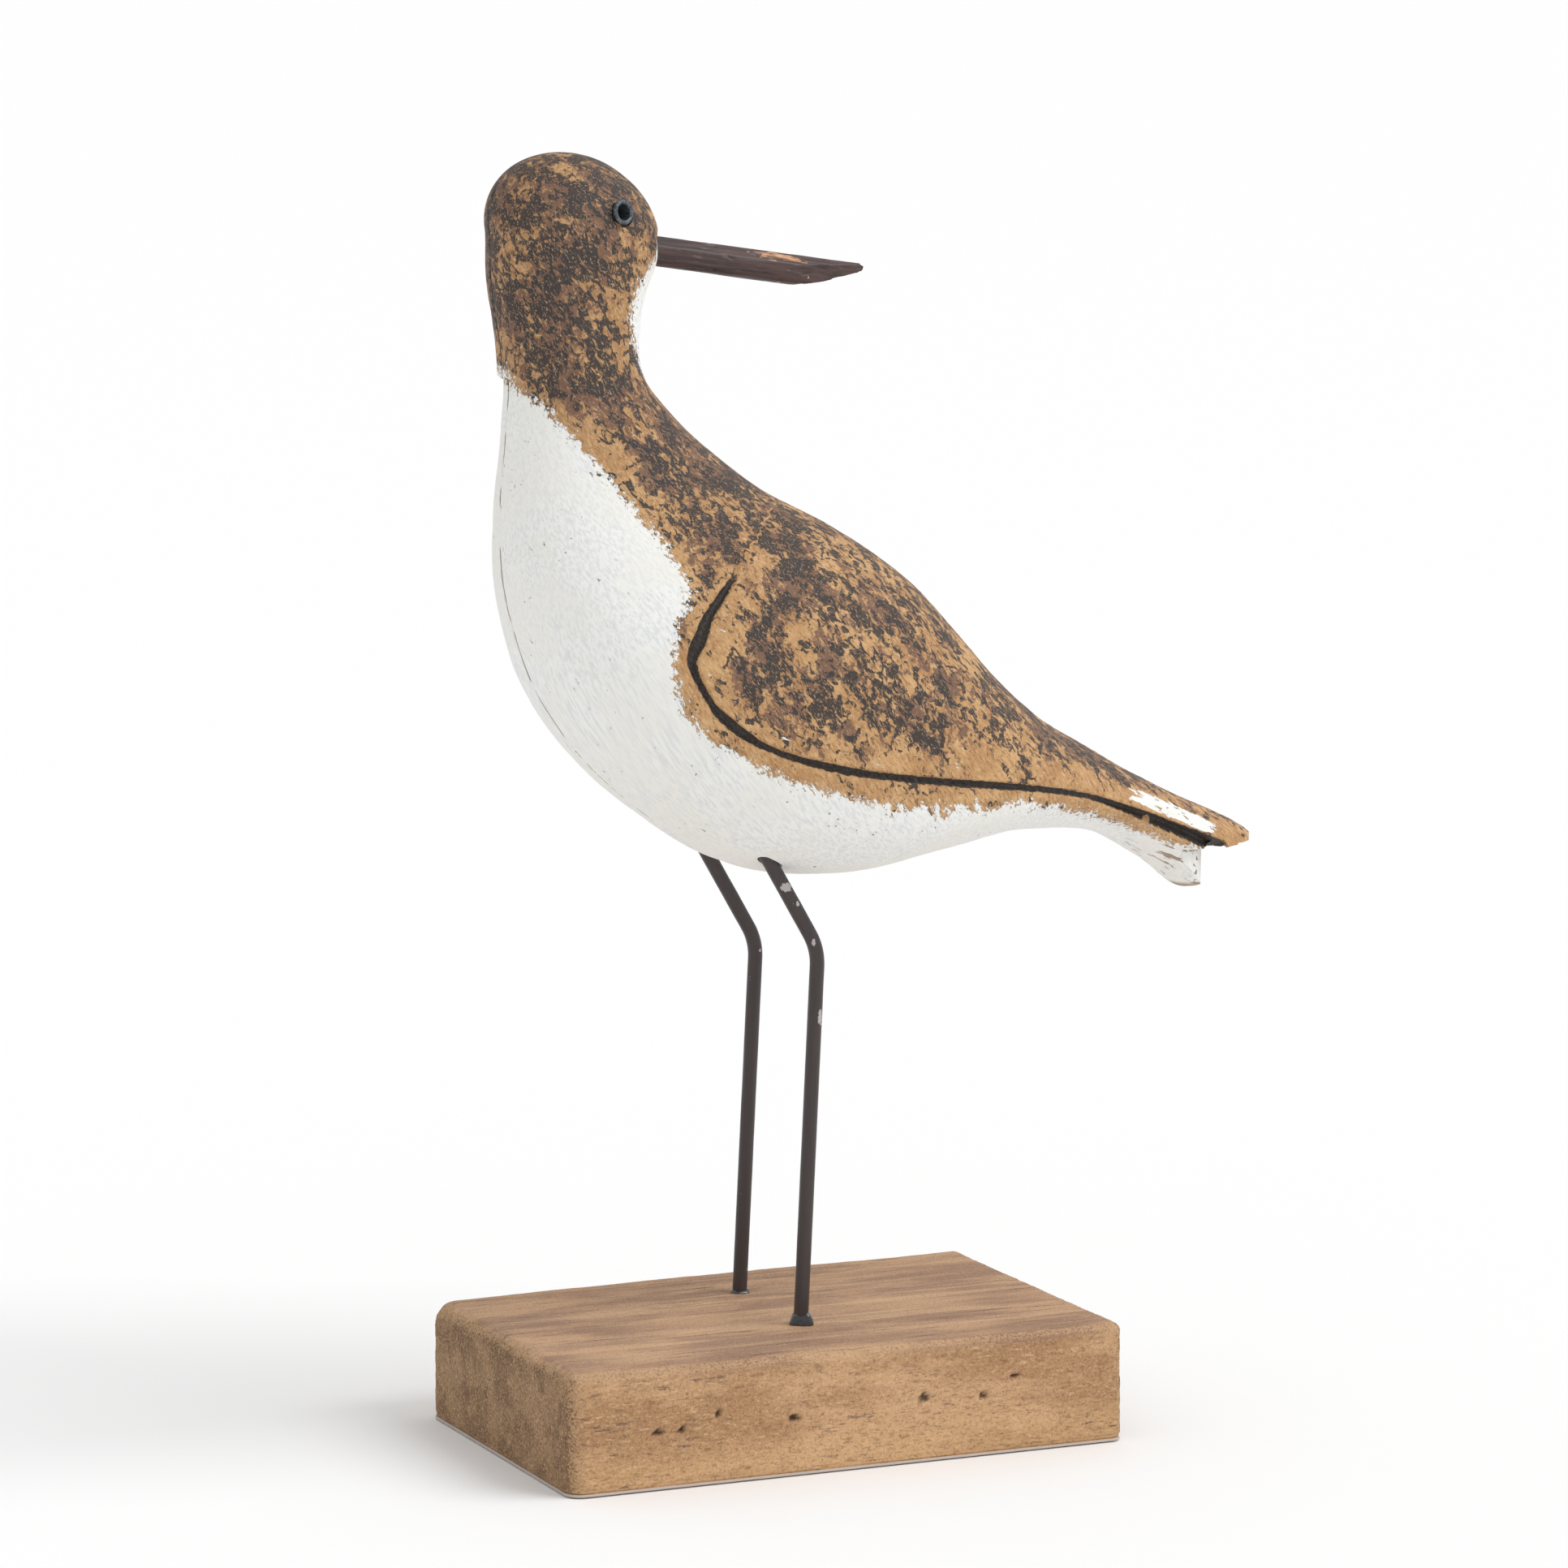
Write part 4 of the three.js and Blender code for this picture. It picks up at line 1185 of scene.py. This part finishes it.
def beak_wear(points):
    """Where the stain has worn through, in one long patch high on the planed side."""
    distance = (points[:, 0] - BEAK_ROOT[0]) / math.cos(BEAK_DROOP)
    height = points[:, 2] - (BEAK_ROOT[1] - distance * math.sin(BEAK_DROOP))
    rag = fractal_noise(points, (0.6, 1.6, 1.6), 3, 51)
    patch = 1.35 - np.sqrt(((distance - 24.5) / 5.0) ** 2 + ((height - 2.1) / 0.62) ** 2) + 0.7 * rag
    return np.clip(patch * (points[:, 1] < MID_Y + 0.3), 0, 1)


# Eyes

def make_eyelet(name, place, material):
    centre = FLANGE_RADIUS - ROLL_RADIUS
    levels = [(BARREL_RADIUS, -BARREL_LENGTH)]
    for angle in np.linspace(-math.pi / 2, math.pi, 22):
        levels.append((centre + ROLL_RADIUS * math.cos(angle), ROLL_RADIUS * math.sin(angle) + GAP))
    levels.append((BARREL_RADIUS - 0.5, -BARREL_LENGTH))
    levels.append(levels[0])
    sides = 48
    points = []
    for radius, height in levels[:-1]:
        for i in range(sides):
            angle = 2 * math.pi * i / sides
            wobble = 1 + 0.012 * math.sin(2 * angle + 1) + 0.008 * math.sin(5 * angle)
            local = Vector((radius * wobble * math.cos(angle), radius * wobble * math.sin(angle), height))
            points.append(tuple(place @ local))
    count = len(levels) - 1
    index = np.arange(count * sides).reshape(count, sides)
    after = np.roll(index, -1, axis=0)
    quads = np.stack([index, np.roll(index, -1, axis=1), np.roll(after, -1, axis=1), after], axis=-1)
    mesh = mesh_from(name + "_rolled", points, quads.reshape(-1, 4).tolist())
    fix_normals(mesh)
    shade_by_angle(mesh, 50)
    return finish_piece(name + "_rolled", mesh, material, name)


def finish_piece(name, mesh, material, node):
    mesh.materials.clear()
    mesh.materials.append(material)
    made = new_object(name, mesh)
    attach(made, "root")
    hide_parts(node)
    return made


# Camera, floor and light

CAMERA_AZIMUTH, CAMERA_ELEVATION = math.radians(-23.89), math.radians(7.87)
CAMERA_DISTANCE = 10.85 * BLOCK_LENGTH
CAMERA_AIM_RIGHT, CAMERA_AIM_UP = 0.018 * BLOCK_LENGTH, 1.085 * BLOCK_LENGTH
PHOTO_SIDE = 1932
FOCAL_PIXELS = 7927


def make_camera():
    back = Vector((
        math.sin(CAMERA_AZIMUTH) * math.cos(CAMERA_ELEVATION),
        -math.cos(CAMERA_AZIMUTH) * math.cos(CAMERA_ELEVATION),
        math.sin(CAMERA_ELEVATION),
    ))
    right = Vector((0, 0, 1)).cross(back).normalized()
    up = back.cross(right)
    aim = right * CAMERA_AIM_RIGHT + up * CAMERA_AIM_UP
    data = bpy.data.cameras.new("camera")
    data.sensor_width = 36
    data.sensor_fit = "HORIZONTAL"
    data.lens = FOCAL_PIXELS / PHOTO_SIDE * data.sensor_width
    data.clip_start, data.clip_end = 0.05, 200
    camera = new_object("camera", data)
    turn = Matrix((right, up, back)).transposed().to_4x4()
    camera.matrix_world = Matrix.Translation((aim + back * CAMERA_DISTANCE) * MM) @ turn
    bpy.context.scene.camera = camera


def make_floor():
    half = 40.0
    mesh = bpy.data.meshes.new("floor")
    mesh.from_pydata([(-half, -half, 0), (half, -half, 0), (half, half, 0), (-half, half, 0)], [], [(0, 1, 2, 3)])
    floor = new_object("floor", mesh)
    floor.location.z = -0.0002
    material = bpy.data.materials.new("floor_paint")
    material.use_nodes = True
    shader = material.node_tree.nodes["Principled BSDF"]
    shader.inputs["Base Color"].default_value = (0.94, 0.94, 0.94, 1)
    shader.inputs["Roughness"].default_value = 0.9
    shader.inputs["Specular IOR Level"].default_value = 0.1
    mesh.materials.append(material)


def make_light(name, direction, softness, strength):
    """A distant soft light, as seen from the figure in the given direction."""
    data = bpy.data.lights.new(name, "SUN")
    data.angle = math.radians(softness)
    data.energy = strength
    light = new_object(name, data)
    light.location = Vector(direction)
    light.rotation_euler = Vector(direction).to_track_quat("Z", "Y").to_euler()


def make_studio():
    scene = bpy.context.scene
    world = bpy.data.worlds.new("studio")
    scene.world = world
    world.use_nodes = True
    background = world.node_tree.nodes["Background"]
    background.inputs["Color"].default_value = (1, 1, 1, 1)
    background.inputs["Strength"].default_value = 0.72
    make_light("key", (0.75, -0.55, 1.0), 40, 1.5)
    scene.view_settings.view_transform = "Standard"


make_camera()
make_floor()
make_studio()

make_block()
wire = black_wire()
for leg_name in LEGS:
    make_leg(leg_name, wire)
glue = glue_material()
for leg_name, spread, tall, seed in (("left_leg", 2.3, 2.0, 1.0), ("right_leg", 1.95, 0.8, 5.0)):
    leg = LEGS[leg_name]
    make_glue(leg_name + "_glue", (leg["foot_x"], leg["y"], BLOCK_HEIGHT - 0.3), spread, tall, glue, seed)
bird, eyes = make_body()
make_beak()
metal = eyelet_metal()
make_eyelet("left_eyelet", eyes[-1], metal)
make_eyelet("right_eyelet", eyes[1], metal)
